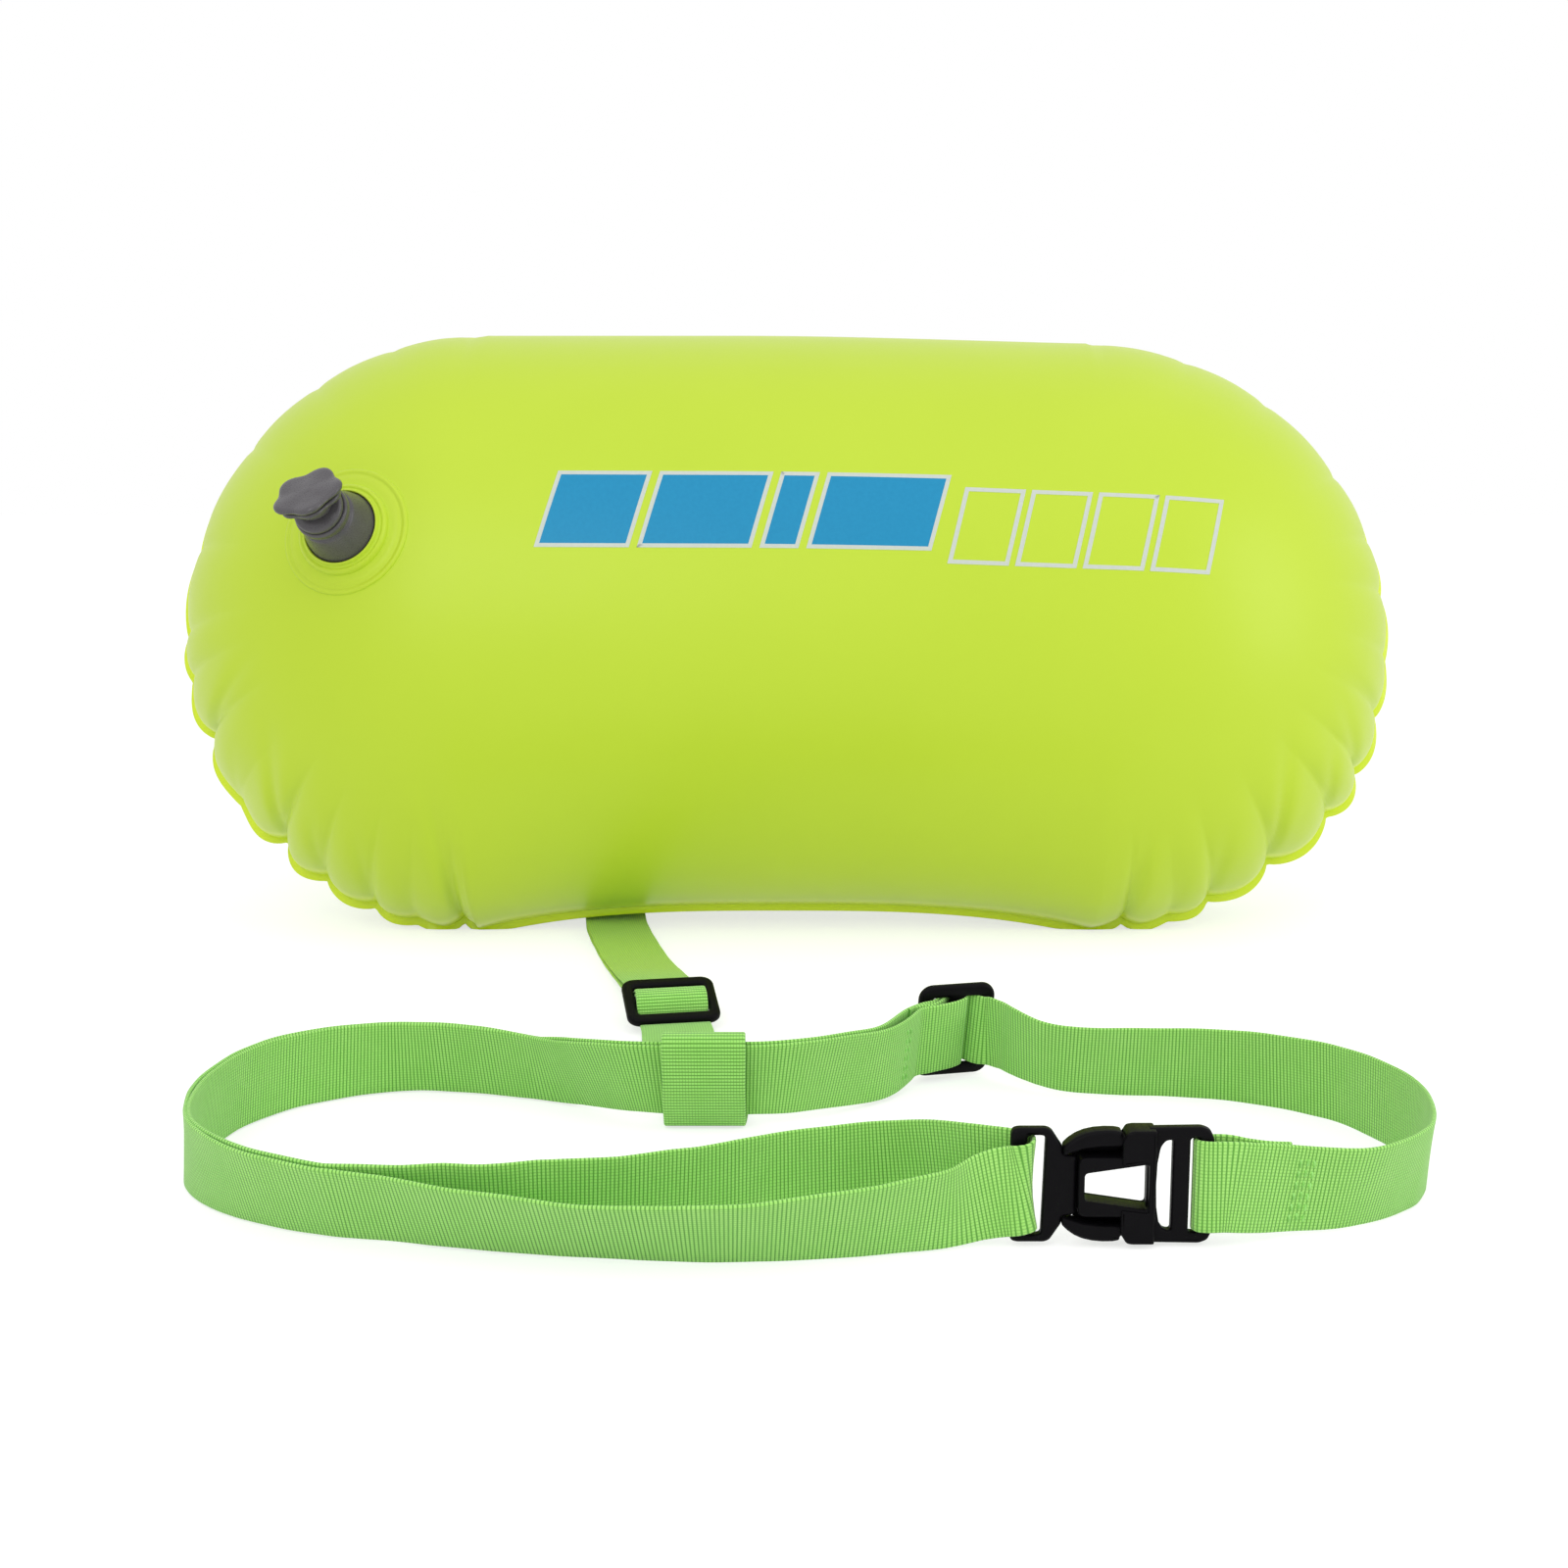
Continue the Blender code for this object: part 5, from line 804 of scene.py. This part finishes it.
def strap_piece(name, line, first, last, looks, *replaced):
    """The stretch of a strap between two of its route's places."""
    a, b = line["marks"][first], line["marks"][last] + 1
    outline = strap_outline()
    count = len(outline)
    centre, width, out, passed = [line[key][a:b] for key in ("centres", "widths", "outs", "passed")]
    # the woven edge wanders a tenth of a millimetre
    wander = 1.0 + 0.004 * np.sin(passed / (3.1 * MM)) + 0.003 * np.sin(passed / (7.7 * MM))
    points = (
        centre[:, None]
        + width[:, None] * (outline[None, :, 0] * wander[:, None])[..., None]
        + out[:, None] * outline[None, :, 1, None]
    )
    made = piece(name, points.reshape(-1, 3), tube_faces(len(centre), count), looks, None, *replaced)
    uv = made.data.uv_layers.new(name="strap")
    place = np.stack([np.repeat(passed, count), np.tile(outline[:, 0] + WEB_WIDTH / 2, len(centre))], axis=1)
    corner = np.empty(len(made.data.loops), np.int32)
    made.data.loops.foreach_get("vertex_index", corner)
    uv.data.foreach_set("uv", place[corner].astype(np.float32).ravel())
    return tidy_mesh(made, 0.0, 50.0)


def place_on(line, distance):
    """The centre, width, direction and outward side at a distance along a strap."""
    k = int(np.searchsorted(line["passed"], distance))
    k = min(max(k, 1), len(line["passed"]) - 2)
    along = line["centres"][k + 1] - line["centres"][k - 1]
    return (
        Vector(line["centres"][k]),
        Vector(line["widths"][k]),
        Vector(along).normalized(),
        Vector(line["outs"][k]),
    )


def stitches(name, line, starts, side, body, replaced):
    """Rows of lock stitches across a strap: each stitch is a thread that rises out of the weave and dips back."""
    points, faces = [], []
    half = WEB_WIDTH / 2 - STITCH_MARGIN
    pitch = STITCH_LENGTH + STITCH_GAP
    count = int(2 * half / pitch)
    for row, distance in enumerate(starts):
        centre, width, along, out = place_on(line, distance)
        for n in range(count):
            left = -count * pitch / 2 + n * pitch + (STITCH_SHIFT if row % 2 else 0.0)
            faces += tube_faces(STITCH_RINGS, STITCH_SIDES, len(points))
            for m in range(STITCH_RINGS):
                t = m / (STITCH_RINGS - 1)
                rise = math.sin(math.pi * t)
                middle = (
                    centre
                    + width * (left + STITCH_LENGTH * t)
                    + along * (STITCH_SLANT * (2 * t - 1))
                    + out * side * (WEB_THICKNESS / 2 - STITCH_SUNK + STITCH_RISE * rise)
                )
                thick = STITCH_RADIUS * (0.55 + 0.45 * rise**0.5)
                for s in range(STITCH_SIDES):
                    angle = 2 * math.pi * s / STITCH_SIDES
                    points.append(middle + along * thick * math.cos(angle) + out * side * thick * math.sin(angle))
    tidy_mesh(piece(name, points, faces, THREAD, body, replaced), 0.001 * MM, 60.0)


def make_straps():
    belt, tether = strap_line(BELT_ROUTE), strap_line(TETHER_ROUTE)
    # the cuts fall in the left bend and at the two sliders; after them the two bodies that a run rides on,
    # and where the blend between them starts and ends
    slider_lead = "belt_slider_body", "buoy", (0.032, -0.096, 0.015), (-0.004, -0.118, 0.015)
    for name, line, first, last, looks, replaced, blend in (
        ("belt_inner_run", belt, 0, 58, WEBBING, ["belt_strap"], slider_lead),
        (
            "belt_front_run", belt, 58, 144, WEBBING, [],
            ("buoy", "buckle_male_half", (-0.130, -0.215, 0.015), (0.044, -0.215, 0.015)),
        ),
        ("belt_outer_run", belt, 144, 199, WEBBING, [], slider_lead),
        (
            "belt_right_run", belt, 199, 250, WEBBING, [],
            ("belt_slider_body", "buoy", (0.080, -0.080, 0.015), (0.150, -0.125, 0.015)),
        ),
        (
            "tether_back_run", tether, 0, 91, TETHER_WEBBING, ["tether_strap"],
            ("tether_slider_body", "buoy", (-0.045, 0.024, 0.008), (-0.060, 0.090, 0.003)),
        ),
        (
            "tether_front_run", tether, 91, 117, WEBBING, [],
            ("tether_slider_body", "buoy", (-0.036, -0.038, 0.001), (-0.026, -0.086, 0.001)),
        ),
    ):
        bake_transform(strap_piece(name, line, first, last, looks, *replaced))
    # the place of the route that each seam is measured from, and how far its rows are from it in mm
    for name, line, place, rows, side, body, replaced in (
        ("belt_slider_seam", belt, 17, (3.4, 5.6), 1.0, "belt_slider_body", "belt_slider_stitch"),
        ("buckle_seam", belt, 238, (-13.6, -15.8, -18.0), 1.0, "buoy", "buckle_stitch"),
        ("tether_slider_seam", tether, 15, (3.6, 5.8), 1.0, "tether_slider_body", "tether_slider_stitch"),
        ("sleeve_seam", tether, 117, (-3.6, -5.8, -8.0), -1.0, "buoy", "sleeve_stitch"),
    ):
        start = line["passed"][line["marks"][place]]
        stitches(name, line, [start + d * MM for d in rows], side, body, replaced)


# Prints


def on_front(x, z, lift):
    """Points on the front of the bladder over the seam plane's (x, z)."""
    depth = crown_depth(x, z) - creases(x, z) + SHEET_LIFT + lift
    return laid(np.stack([x, -depth, z + arched(x, z)], axis=-1))


def ink_patches(name, quads, looks, lift=0.10 * MM, cell=1.6 * MM):
    """A print made of four-sided patches; each is its corners (x, z) in order round it."""
    points, faces = [], []
    for quad in quads:
        a, b, c, d = [np.array(p, float) for p in quad]
        nu, nv = [max(1, math.ceil(np.linalg.norm(far - a) / cell)) for far in (b, d)]
        u, v = [t[..., None] for t in np.meshgrid(np.linspace(0, 1, nu + 1), np.linspace(0, 1, nv + 1))]
        flat = a * ((1 - u) * (1 - v)) + b * (u * (1 - v)) + c * (u * v) + d * ((1 - u) * v)
        low = len(points)
        top = low + (nu + 1) * (nv + 1)
        for height in (lift, -lift):
            points += list(on_front(flat[..., 0], flat[..., 1], height).reshape(-1, 3))
        faces += grid_faces(nv + 1, nu + 1, base=low) + [f[::-1] for f in grid_faces(nv + 1, nu + 1, base=top)]
        border = (
            [k for k in range(nu + 1)]
            + [(nu + 1) * (k + 1) + nu for k in range(nv)]
            + [(nu + 1) * nv + nu - 1 - k for k in range(nu)]
            + [(nu + 1) * (nv - 1 - k) for k in range(nv - 1)]
        )
        faces += [(low + k, low + m, top + m, top + k) for k, m in zip(border, border[1:] + border[:1])]
    tidy_mesh(piece(name, points, faces, looks, "buoy"), 0.01 * MM, 60.0)


def slanted(left, right, low, high, slant, tilt):
    """A leaning bar's corners."""
    return [
        (left, low + tilt * left),
        (right, low + tilt * right),
        (right + slant, high + tilt * right),
        (left + slant, high + tilt * left),
    ]


def ring_of(outer, width):
    """Four mitred strips round the inside of a bar's outline."""
    corners = [Vector(p) for p in outer]
    inner = []
    for k, here in enumerate(corners):
        before = (corners[k - 1] - here).normalized()
        after = (corners[(k + 1) % 4] - here).normalized()
        inner.append(tuple(here + (before + after) * (width / math.sin(before.angle(after)))))
    return [(outer[k], outer[(k + 1) % 4], inner[(k + 1) % 4], inner[k]) for k in range(4)]


def make_prints():
    """Plain leaning bars: four filled ones with a pale outline, then four in outline only."""
    filled, edges, open_bars = [], [], []
    low, high, slant, left = 0.0165, 0.0480, 0.0085, -0.0960
    gap, border = 0.0030, 0.0016
    for width in (0.0365, 0.0440, 0.0150, 0.0480):
        ring = ring_of(slanted(left, left + width, low, high, slant, -0.004), border)
        edges += ring
        filled.append([quad[3] for quad in ring])
        left += width + gap
    left += gap
    # the open bars stand lower, and lean less
    width, gap, border, drop = 0.0235, 0.0024, 0.0017, 0.0040
    for _ in range(4):
        outer = slanted(left, left + width, low - drop, high - drop, slant * 0.9, -0.02)
        open_bars += ring_of(outer, border)
        left += width + gap
    ink_patches("print_bars_blue", filled, BLUE_INK)
    ink_patches("print_bars_outline", edges, GREY_INK)
    ink_patches("print_bars_open", open_bars, GREY_INK)


# Buckle and sliders


def moulding(name, outlines, thickness, edge, place, body, corner, *replaced):
    """A flat moulding in its place's XZ plane, in mm: its rim and openings, its thickness, how much its
    edges are rounded, and its corners' radius."""
    curve = bpy.data.curves.new(name + "_outline", "CURVE")
    curve.dimensions, curve.fill_mode = "2D", "BOTH"
    # the curve is drawn in mm, as the filling loses narrow strips that are drawn in metres
    curve.extrude, curve.bevel_depth, curve.offset = thickness / 2 - edge, edge, -edge
    curve.bevel_resolution = 3
    for outline in outlines:
        points = softened(in_metres(outline), corner * MM, 4)
        spline = curve.splines.new("POLY")
        spline.points.add(len(points) - 1)
        for point, at in zip(spline.points, points):
            point.co = (at.x / MM, at.y / MM, 0.0, 1.0)
        spline.use_cyclic_u = True
    holder = bpy.data.objects.new(name + "_outline", curve)
    mesh = bpy.data.meshes.new_from_object(holder)
    bpy.data.objects.remove(holder)
    points = [place @ (Vector((v.co.x, -v.co.z, v.co.y)) * MM) for v in mesh.vertices]
    faces = [tuple(p.vertices) for p in mesh.polygons]
    bpy.data.meshes.remove(mesh)
    return tidy_mesh(piece(name, points, faces, ACETAL, body, *replaced), 0.03 * MM, 38.0)


def pocket(made, place, low, high):
    """Cuts a square pocket; its corners are in mm in the place's axes."""
    corners = [(x, y, z) for x in (low[0], high[0]) for y in (low[1], high[1]) for z in (low[2], high[2])]
    mesh = bpy.data.meshes.new("pocket")
    sides = [(0, 1, 3, 2), (4, 6, 7, 5), (0, 4, 5, 1), (2, 3, 7, 6), (0, 2, 6, 4), (1, 5, 7, 3)]
    mesh.from_pydata([tuple(place @ (Vector(c) * MM)) for c in corners], [], sides)
    cutter = link(bpy.data.objects.new("pocket", mesh))
    mod = made.modifiers.new("pocket", "BOOLEAN")
    mod.operation, mod.solver, mod.object = "DIFFERENCE", "EXACT", cutter
    bpy.context.view_layer.update()
    cut = bpy.data.meshes.new_from_object(made.evaluated_get(bpy.context.evaluated_depsgraph_get()))
    made.modifiers.clear()
    made.data = cut
    bpy.data.objects.remove(cutter)
    shade(cut, 38.0)


def mirrored(half):
    """An outline from its upper half, left to right, and the same below."""
    return half + [(x, -z) for x, z in half[::-1]]


def box(left, right, low, high):
    return [(left, low), (right, low), (right, high), (left, high)]


def make_slider(name, at, along, tall, body, replaced):
    """A three-bar slider: two openings with the centre bar between them."""
    along, tall = Vector(along), Vector(tall)
    place = Matrix.Translation(at) @ Matrix((along, tall.cross(along), tall)).transposed().to_4x4()
    rim = []
    for sx, sz, start in ((1, 1, 0.0), (-1, 1, 90.0), (-1, -1, 180.0), (1, -1, 270.0)):
        for n in range(9):
            angle = math.radians(start + n * 11.25)
            x = sx * (SLIDER_HALF - SLIDER_ROUND) + SLIDER_ROUND * math.cos(angle)
            rim.append((x, sz * (SLIDER_HIGH - SLIDER_ROUND) + SLIDER_ROUND * math.sin(angle)))
    slots = [box(x - SLOT_HALF, x + SLOT_HALF, SLOT_LOW, SLOT_HIGH) for x in (-SLOT_AT, SLOT_AT)]
    moulding(name, [rim, *slots], 3.2, 1.3, place, body, 1.2, replaced)


def make_buckle():
    """Side-release buckle: the male frame with its two arms, and the female body with its block."""
    place = Matrix.Translation(BUCKLE_AT)
    slot = [(4.3, -13.6), (8.2, -13.6), (9.0, 13.6), (4.3, 13.6)]
    frame_half = [
        (0.0, 13.9), (0.5, 15.2), (1.9, 15.6), (9.2, 15.6), (10.6, 15.0), (13.6, 10.4), (13.6, 8.6), (17.2, 8.0),
    ]
    outlines = [mirrored(frame_half), slot]
    moulding("buckle_male_frame", outlines, 3.8, 1.1, place, "buckle_male_half", 1.2, "buckle_male")
    arm = [
        (0.2, 1.2), (1.6, 2.6), (3.4, 3.9), (5.6, 4.9), (8.2, 5.5), (11.0, 5.75), (13.6, 5.7), (15.4, 5.35),
        (15.6, 4.1), (18.6, 4.1), (18.7, 4.9), (19.6, 4.9), (24.0, 3.1), (24.0, 2.0), (15.4, 1.3), (10.0, 1.2),
        (5.6, 0.6), (0.2, -1.1),
    ]
    for side, word in ((1.0, "upper"), (-1.0, "lower")):
        root = place @ Matrix.Translation((13.4 * MM, 0.0, side * 9.5 * MM))
        outline = [(x, side * z) for x, z in arm]
        moulding(f"buckle_arm_{word}", [outline], 5.6, 1.2, root, f"prong_{word}", 0.5, f"buckle_prong_{word}")
    # the female half: the tongue with its window, the block round the arms, and the frame for the webbing
    tongue_half = [(17.6, 6.6), (18.2, 7.8), (19.4, 8.1), (37.6, 8.1)]
    window = [(19.3, -3.7), (35.9, -6.2), (35.9, 6.2), (19.3, 3.7)]
    moulding("buckle_female_tongue", [mirrored(tongue_half), window], 6.6, 0.7, place, "buoy", 1.0, "buckle_female")
    block_half = [(28.8, 6.0), (28.8, 12.6), (30.4, 15.2), (31.8, 15.5), (37.7, 15.5)]
    opening = [(28.8, -6.0), (35.9, -6.9), (35.9, 6.9)]
    block = moulding("buckle_female_block", [mirrored(block_half)[:-1] + opening], 8.0, 0.8, place, "buoy", 0.6)
    for side in (-1.0, 1.0):
        for low, high, z_high in ((26.0, 32.2, 14.0), (31.8, 37.0, 14.8)):
            near, far = sorted((side * 8.8, side * z_high))
            pocket(block, place, (low, -3.0, near), (high, 3.0, far))
    rear_half = [(35.6, 15.2), (36.2, 15.7), (49.8, 15.9), (52.0, 15.0), (53.0, 12.6)]
    bow_half = [(42.2, 12.4), (40.4, 12.2), (39.1, 10.4), (38.4, 6.0)]
    outlines = [mirrored(rear_half), bow_half + [(38.2, 0.0)] + mirrored(bow_half)[4:], box(46.8, 49.4, -12.9, 12.9)]
    moulding("buckle_female_rear", outlines, 3.8, 1.0, place, "buoy", 0.9)
    back_half = [(15.4, 6.4), (16.6, 9.6), (19.0, 11.6), (22.0, 12.6), (37.0, 12.6)]
    back = place @ Matrix.Translation((0.0, 3.5 * MM, 0.0))
    moulding("buckle_female_guide", [mirrored(back_half), window], 0.9, 0.3, back, "buoy", 1.2)


# Valve and anchor


def lobed_plate(place, radius, lobe, half):
    """Points of a wing plate with five rounded lobes, hollowed a little between them, and its rows' count."""
    rows = (
        (0.02, 0.94), (0.30, 0.92), (0.52, 0.86), (0.70, 0.90), (0.84, 1.0), (0.93, 0.94), (0.98, 0.68), (1.0, 0.28),
        (1.0, -0.28), (0.98, -0.68), (0.93, -0.94), (0.84, -1.0), (0.40, -1.0), (0.02, -1.0),
    )
    points = []
    for share, height in rows:
        hollow = 0.22 * half * smooth_step(share * 1.6 - 0.5) if height > 0.0 else 0.0
        for n in range(PLATE_STEPS):
            angle = 2.0 * math.pi * n / PLATE_STEPS
            wave_here = math.cos(5.0 * angle)
            # lobes are rounder than the dips between them
            full = share * (radius + lobe * (wave_here - 0.08 * math.cos(10.0 * angle)))
            dip = hollow * (1.0 - wave_here)
            points.append(place @ Vector((full * math.cos(angle), full * math.sin(angle), height * half - dip)))
    return points, len(rows)


def make_cap(place):
    """The cap: its plug and neck, and two slanted wing plates that a finger and a thumb turn."""
    plug = [
        (0.0001, 8.4), (6.5, 8.4), (6.9, 8.8), (6.9, 10.9), (5.7, 11.1), (5.7, 12.7), (6.9, 12.9), (6.9, 22.75),
        (9.3, 22.75), (9.9, 23.3), (9.9, 24.5), (9.4, 25.1), (8.6, 25.4), (7.9, 25.6), (7.0, 26.0), (0.0001, 26.2),
    ]
    points = hoops(place, in_metres(plug), CAP_STEPS)
    faces = grid_faces(len(plug), CAP_STEPS, True)
    up = place.to_3x3().inverted() @ Vector(CAP_LEAN)
    tilt = Matrix.Rotation(math.radians(CAP_SLANT), 4, Vector((-up.y, up.x, 0.0)).normalized())
    turn = Matrix.Rotation(math.radians(CAP_TURN), 4, "Z")
    pivot = place @ Matrix.Translation((0.0, 0.0, CAP_PIVOT * MM)) @ tilt
    plates = [pivot @ Matrix.Translation((0.0, 0.0, height * MM)) for height in CAP_PLATES]
    for at, share in zip(plates, (0.86, 1.0)):
        plate, rows = lobed_plate(at @ turn, PLATE_RADIUS * share, PLATE_LOBE * share, PLATE_HALF)
        faces += tube_faces(rows, PLATE_STEPS, len(points))
        points += plate
    hub = in_metres([(5.8, -5.4), (7.0, -3.0), (7.2, 3.4), (4.6, 4.4), (0.001, 4.6)])
    base = len(points)
    points += hoops(plates[0], hub, CAP_STEPS)
    faces += grid_faces(len(hub), CAP_STEPS, True, base) + [tuple(range(base, base + CAP_STEPS))]
    tidy_mesh(piece("valve_cap_moulded", points, faces, VALVE_GREY, "cap", "valve_cap"), 0.03 * MM)


def make_valve(tree):
    joint = next(j for j in frame["joints"] if j["name"] == "cap_turn")
    place = basis(joint["pos_m"], joint["axis"], (1.0, 0.0, 0.0))
    # the weld's press has left a shallow ring near the rim
    rows = [
        (16.2, PATCH_THICKNESS / MM), (20.5, 1.0), (22.8, 1.0), (23.2, 0.72), (24.0, 0.66), (24.4, 0.98), (25.4, 0.94),
        (25.9, 0.62), (26.0, 0.1), (26.0, -0.4), (20.5, -0.4), (16.2, -0.4),
    ]
    round_patch("valve_patch", tree, place, in_metres(rows), "valve_base", 96)
    # a low cup with a shallow groove and an inner lip that stands up round the stem
    steps_in = (
        (0.0, -COLLAR_SUNK), (-0.0002, 0.0016), (0.0002, 0.0034), (0.0012, 0.0043), (0.0022, 0.0037), (0.0028, 0.0042),
        (0.0031, COLLAR_HEIGHT), (0.0037, COLLAR_HEIGHT + 0.0002),
        (COLLAR_RADIUS - COLLAR_INNER, COLLAR_HEIGHT - 0.0005), (COLLAR_RADIUS - COLLAR_INNER, -COLLAR_SUNK),
    )
    collar = softened([(COLLAR_RADIUS - step, height) for step, height in steps_in], 0.6 * MM)
    turned("valve_collar", collar, place, PVC, 96)
    # the stem: a foot that the collar holds, a cone, a groove under its lip, and the bore for the plug
    stem = [
        (8.8, -5.8), (8.9, 1.5), (14.4, 1.5), (14.4, 4.6), (14.0, 6.4), (13.2, 9.6), (11.8, 14.0), (11.0, 16.8),
        (10.0, 17.6), (9.9, 18.6), (10.7, 19.3), (10.9, 20.0), (10.9, 21.6), (10.4, 22.4), (7.9, 22.4), (7.5, 22.0),
        (7.5, -5.8),
    ]
    turned("valve_stem_moulded", softened(in_metres(stem), 0.6 * MM), place, VALVE_GREY, 112, "valve_stem")
    make_cap(place)


def make_anchor(tree):
    place = basis(ANCHOR_AT, ANCHOR_OUT, ANCHOR_LEVEL)
    rows = [
        (0.1, 1.2), (10.0, 1.2), (16.8, 1.2), (17.2, 0.9), (18.0, 0.88), (18.4, 1.18), (19.0, 1.1), (19.4, 0.7),
        (19.5, 0.1), (19.5, -0.4), (10.0, -0.4), (0.1, -0.4),
    ]
    round_patch("anchor_patch_welded", tree, place, in_metres(rows), "anchor_patch", 72)
    # the loop is a strip of the same sheet that stands over the patch on two feet
    half = WEB_WIDTH / 2 + LOOP_PLAY
    top, low, foot = LOOP_HEIGHT, LOOP_HEIGHT - LOOP_THICKNESS, half + LOOP_FOOT
    flat, shoulder = half + LOOP_BEVEL[0], top - LOOP_BEVEL[1]
    outline = softened(
        [
            (-foot, LOOP_BASE), (-foot, shoulder), (-flat, top), (flat, top), (foot, shoulder), (foot, LOOP_BASE),
            (half, LOOP_BASE), (half, low), (-half, low), (-half, LOOP_BASE),
        ],
        0.8 * MM,
    )
    long = LOOP_WIDTH / 2
    rows = (-long, -long + 0.3 * MM, long - 0.3 * MM, long)
    points = [place @ Vector((p.x, y, p.y)) for y in rows for p in outline]
    tidy_mesh(piece("anchor_loop", points, tube_faces(len(rows), len(outline)), PVC, "buoy"), angle=45.0)


def show_cad(name, material):
    """A CAD piece shown as it is, with its edges softened and its material."""
    made = frame["nodes"][name]
    made.data.materials.clear()
    made.data.materials.append(material)
    made.data.shade_smooth()
    mod = made.modifiers.new("edges", "BEVEL")
    mod.width, mod.segments = 0.08 * MM, 2
    mod.limit_method, mod.angle_limit = "ANGLE", math.radians(35.0)
    mod.harden_normals = True


# Camera, floor and light


def rays_of(tree, *kinds):
    """1 for light rays of the kinds, and 0 for others."""
    path = add(tree, "LightPath").outputs
    found = path[f"Is {kinds[0]} Ray"]
    for kind in kinds[1:]:
        found = add(tree, "Math", {0: found, 1: path[f"Is {kind} Ray"]}, operation="MAXIMUM").outputs[0]
    return found


def make_stage():
    scene = bpy.context.scene
    camera = bpy.data.cameras.new("camera")
    camera.lens, camera.sensor_width = LENS, SENSOR
    holder = link(bpy.data.objects.new("camera", camera))
    holder.location = CAMERA_AT
    holder.rotation_euler = (math.pi / 2 - CAMERA_DOWN, 0.0, 0.0)
    scene.camera = holder
    scene.view_settings.view_transform = "Standard"

    # the room is white to the eye, and a little dimmer as a light
    scene.world = bpy.data.worlds.new("studio")
    scene.world.use_nodes = True
    tree = scene.world.node_tree
    tree.nodes.clear()
    room, white = [add(tree, "Background", {"Color": WHITE, "Strength": s}).outputs[0] for s in (0.75, 1.0)]
    both = add(tree, "MixShader", {0: rays_of(tree, "Camera", "Glossy", "Transmission"), 1: room, 2: white})
    add(tree, "OutputWorld", {"Surface": both.outputs[0]})

    # the floor is bright paper to the eye, and matt paper to the light that falls from it on the object
    floor = bpy.data.meshes.new("floor")
    size = 3.0
    floor.from_pydata([(-size, -size, 0), (size, -size, 0), (size, size, 0), (-size, size, 0)], [], [(0, 1, 2, 3)])
    ground = link(bpy.data.objects.new("floor", floor))
    ground.location.z = -0.0004
    paper = bpy.data.materials.new("floor_paper")
    paper.use_nodes = True
    tree = paper.node_tree
    tree.nodes.clear()
    matt, pale = [add(tree, "BsdfDiffuse", {"Color": srgb(code)}).outputs[0] for code in ("#F2F2F2", "#BEBEBE")]
    glow = add(tree, "Emission", {"Color": WHITE, "Strength": 0.68}).outputs[0]
    lit = add(tree, "AddShader", {0: pale, 1: glow}).outputs[0]
    both = add(tree, "MixShader", {0: rays_of(tree, "Camera", "Glossy"), 1: matt, 2: lit})
    add(tree, "OutputMaterial", {"Surface": both.outputs[0]})
    floor.materials.append(paper)

    # place, aim, width, height and watts of each soft box
    for name, place, aim, width, height, power in (
        ("top_box", (0.0, -0.55, 1.5), (0.0, 0.05, 0.08), 1.8, 1.2, 2.6),
        ("left_box", (-0.42, -1.05, 0.90), (-0.13, 0.08, 0.1), 0.45, 0.55, 2.9),
        ("right_box", (1.15, -0.50, 0.62), (0.18, 0.08, 0.12), 0.45, 0.8, 3.3),
    ):
        light = bpy.data.lights.new(name, "AREA")
        light.shape = "RECTANGLE"
        light.size, light.size_y, light.energy = width, height, power
        holder = link(bpy.data.objects.new(name, light))
        holder.location = place
        holder.rotation_euler = (Vector(aim) - Vector(place)).to_track_quat("-Z", "Y").to_euler()


def main():
    make_stage()
    tree = tree_of(make_bladder())
    make_valve(tree)
    make_anchor(tree)
    make_straps()
    make_prints()
    for name in ("cap_seal", "check_flap"):
        show_cad(name, SILICONE)
    # name, place, the directions along and across the webbing, body and CAD node of each slider
    for values in (
        (
            "belt_slider_moulded", (0.0548, -0.08, 0.016673), (0.970296, 0.241922, 0.0),
            (0.058526, -0.234736, 0.970296), "belt_slider_body", "belt_slider",
        ),
        (
            "tether_slider_moulded", (-0.04, -0.017, 0.0078), (0.179302, -0.922428, -0.34202),
            (-0.981627, -0.190809, 0.0), "tether_slider_body", "tether_slider",
        ),
    ):
        make_slider(*values)
    make_buckle()


main()
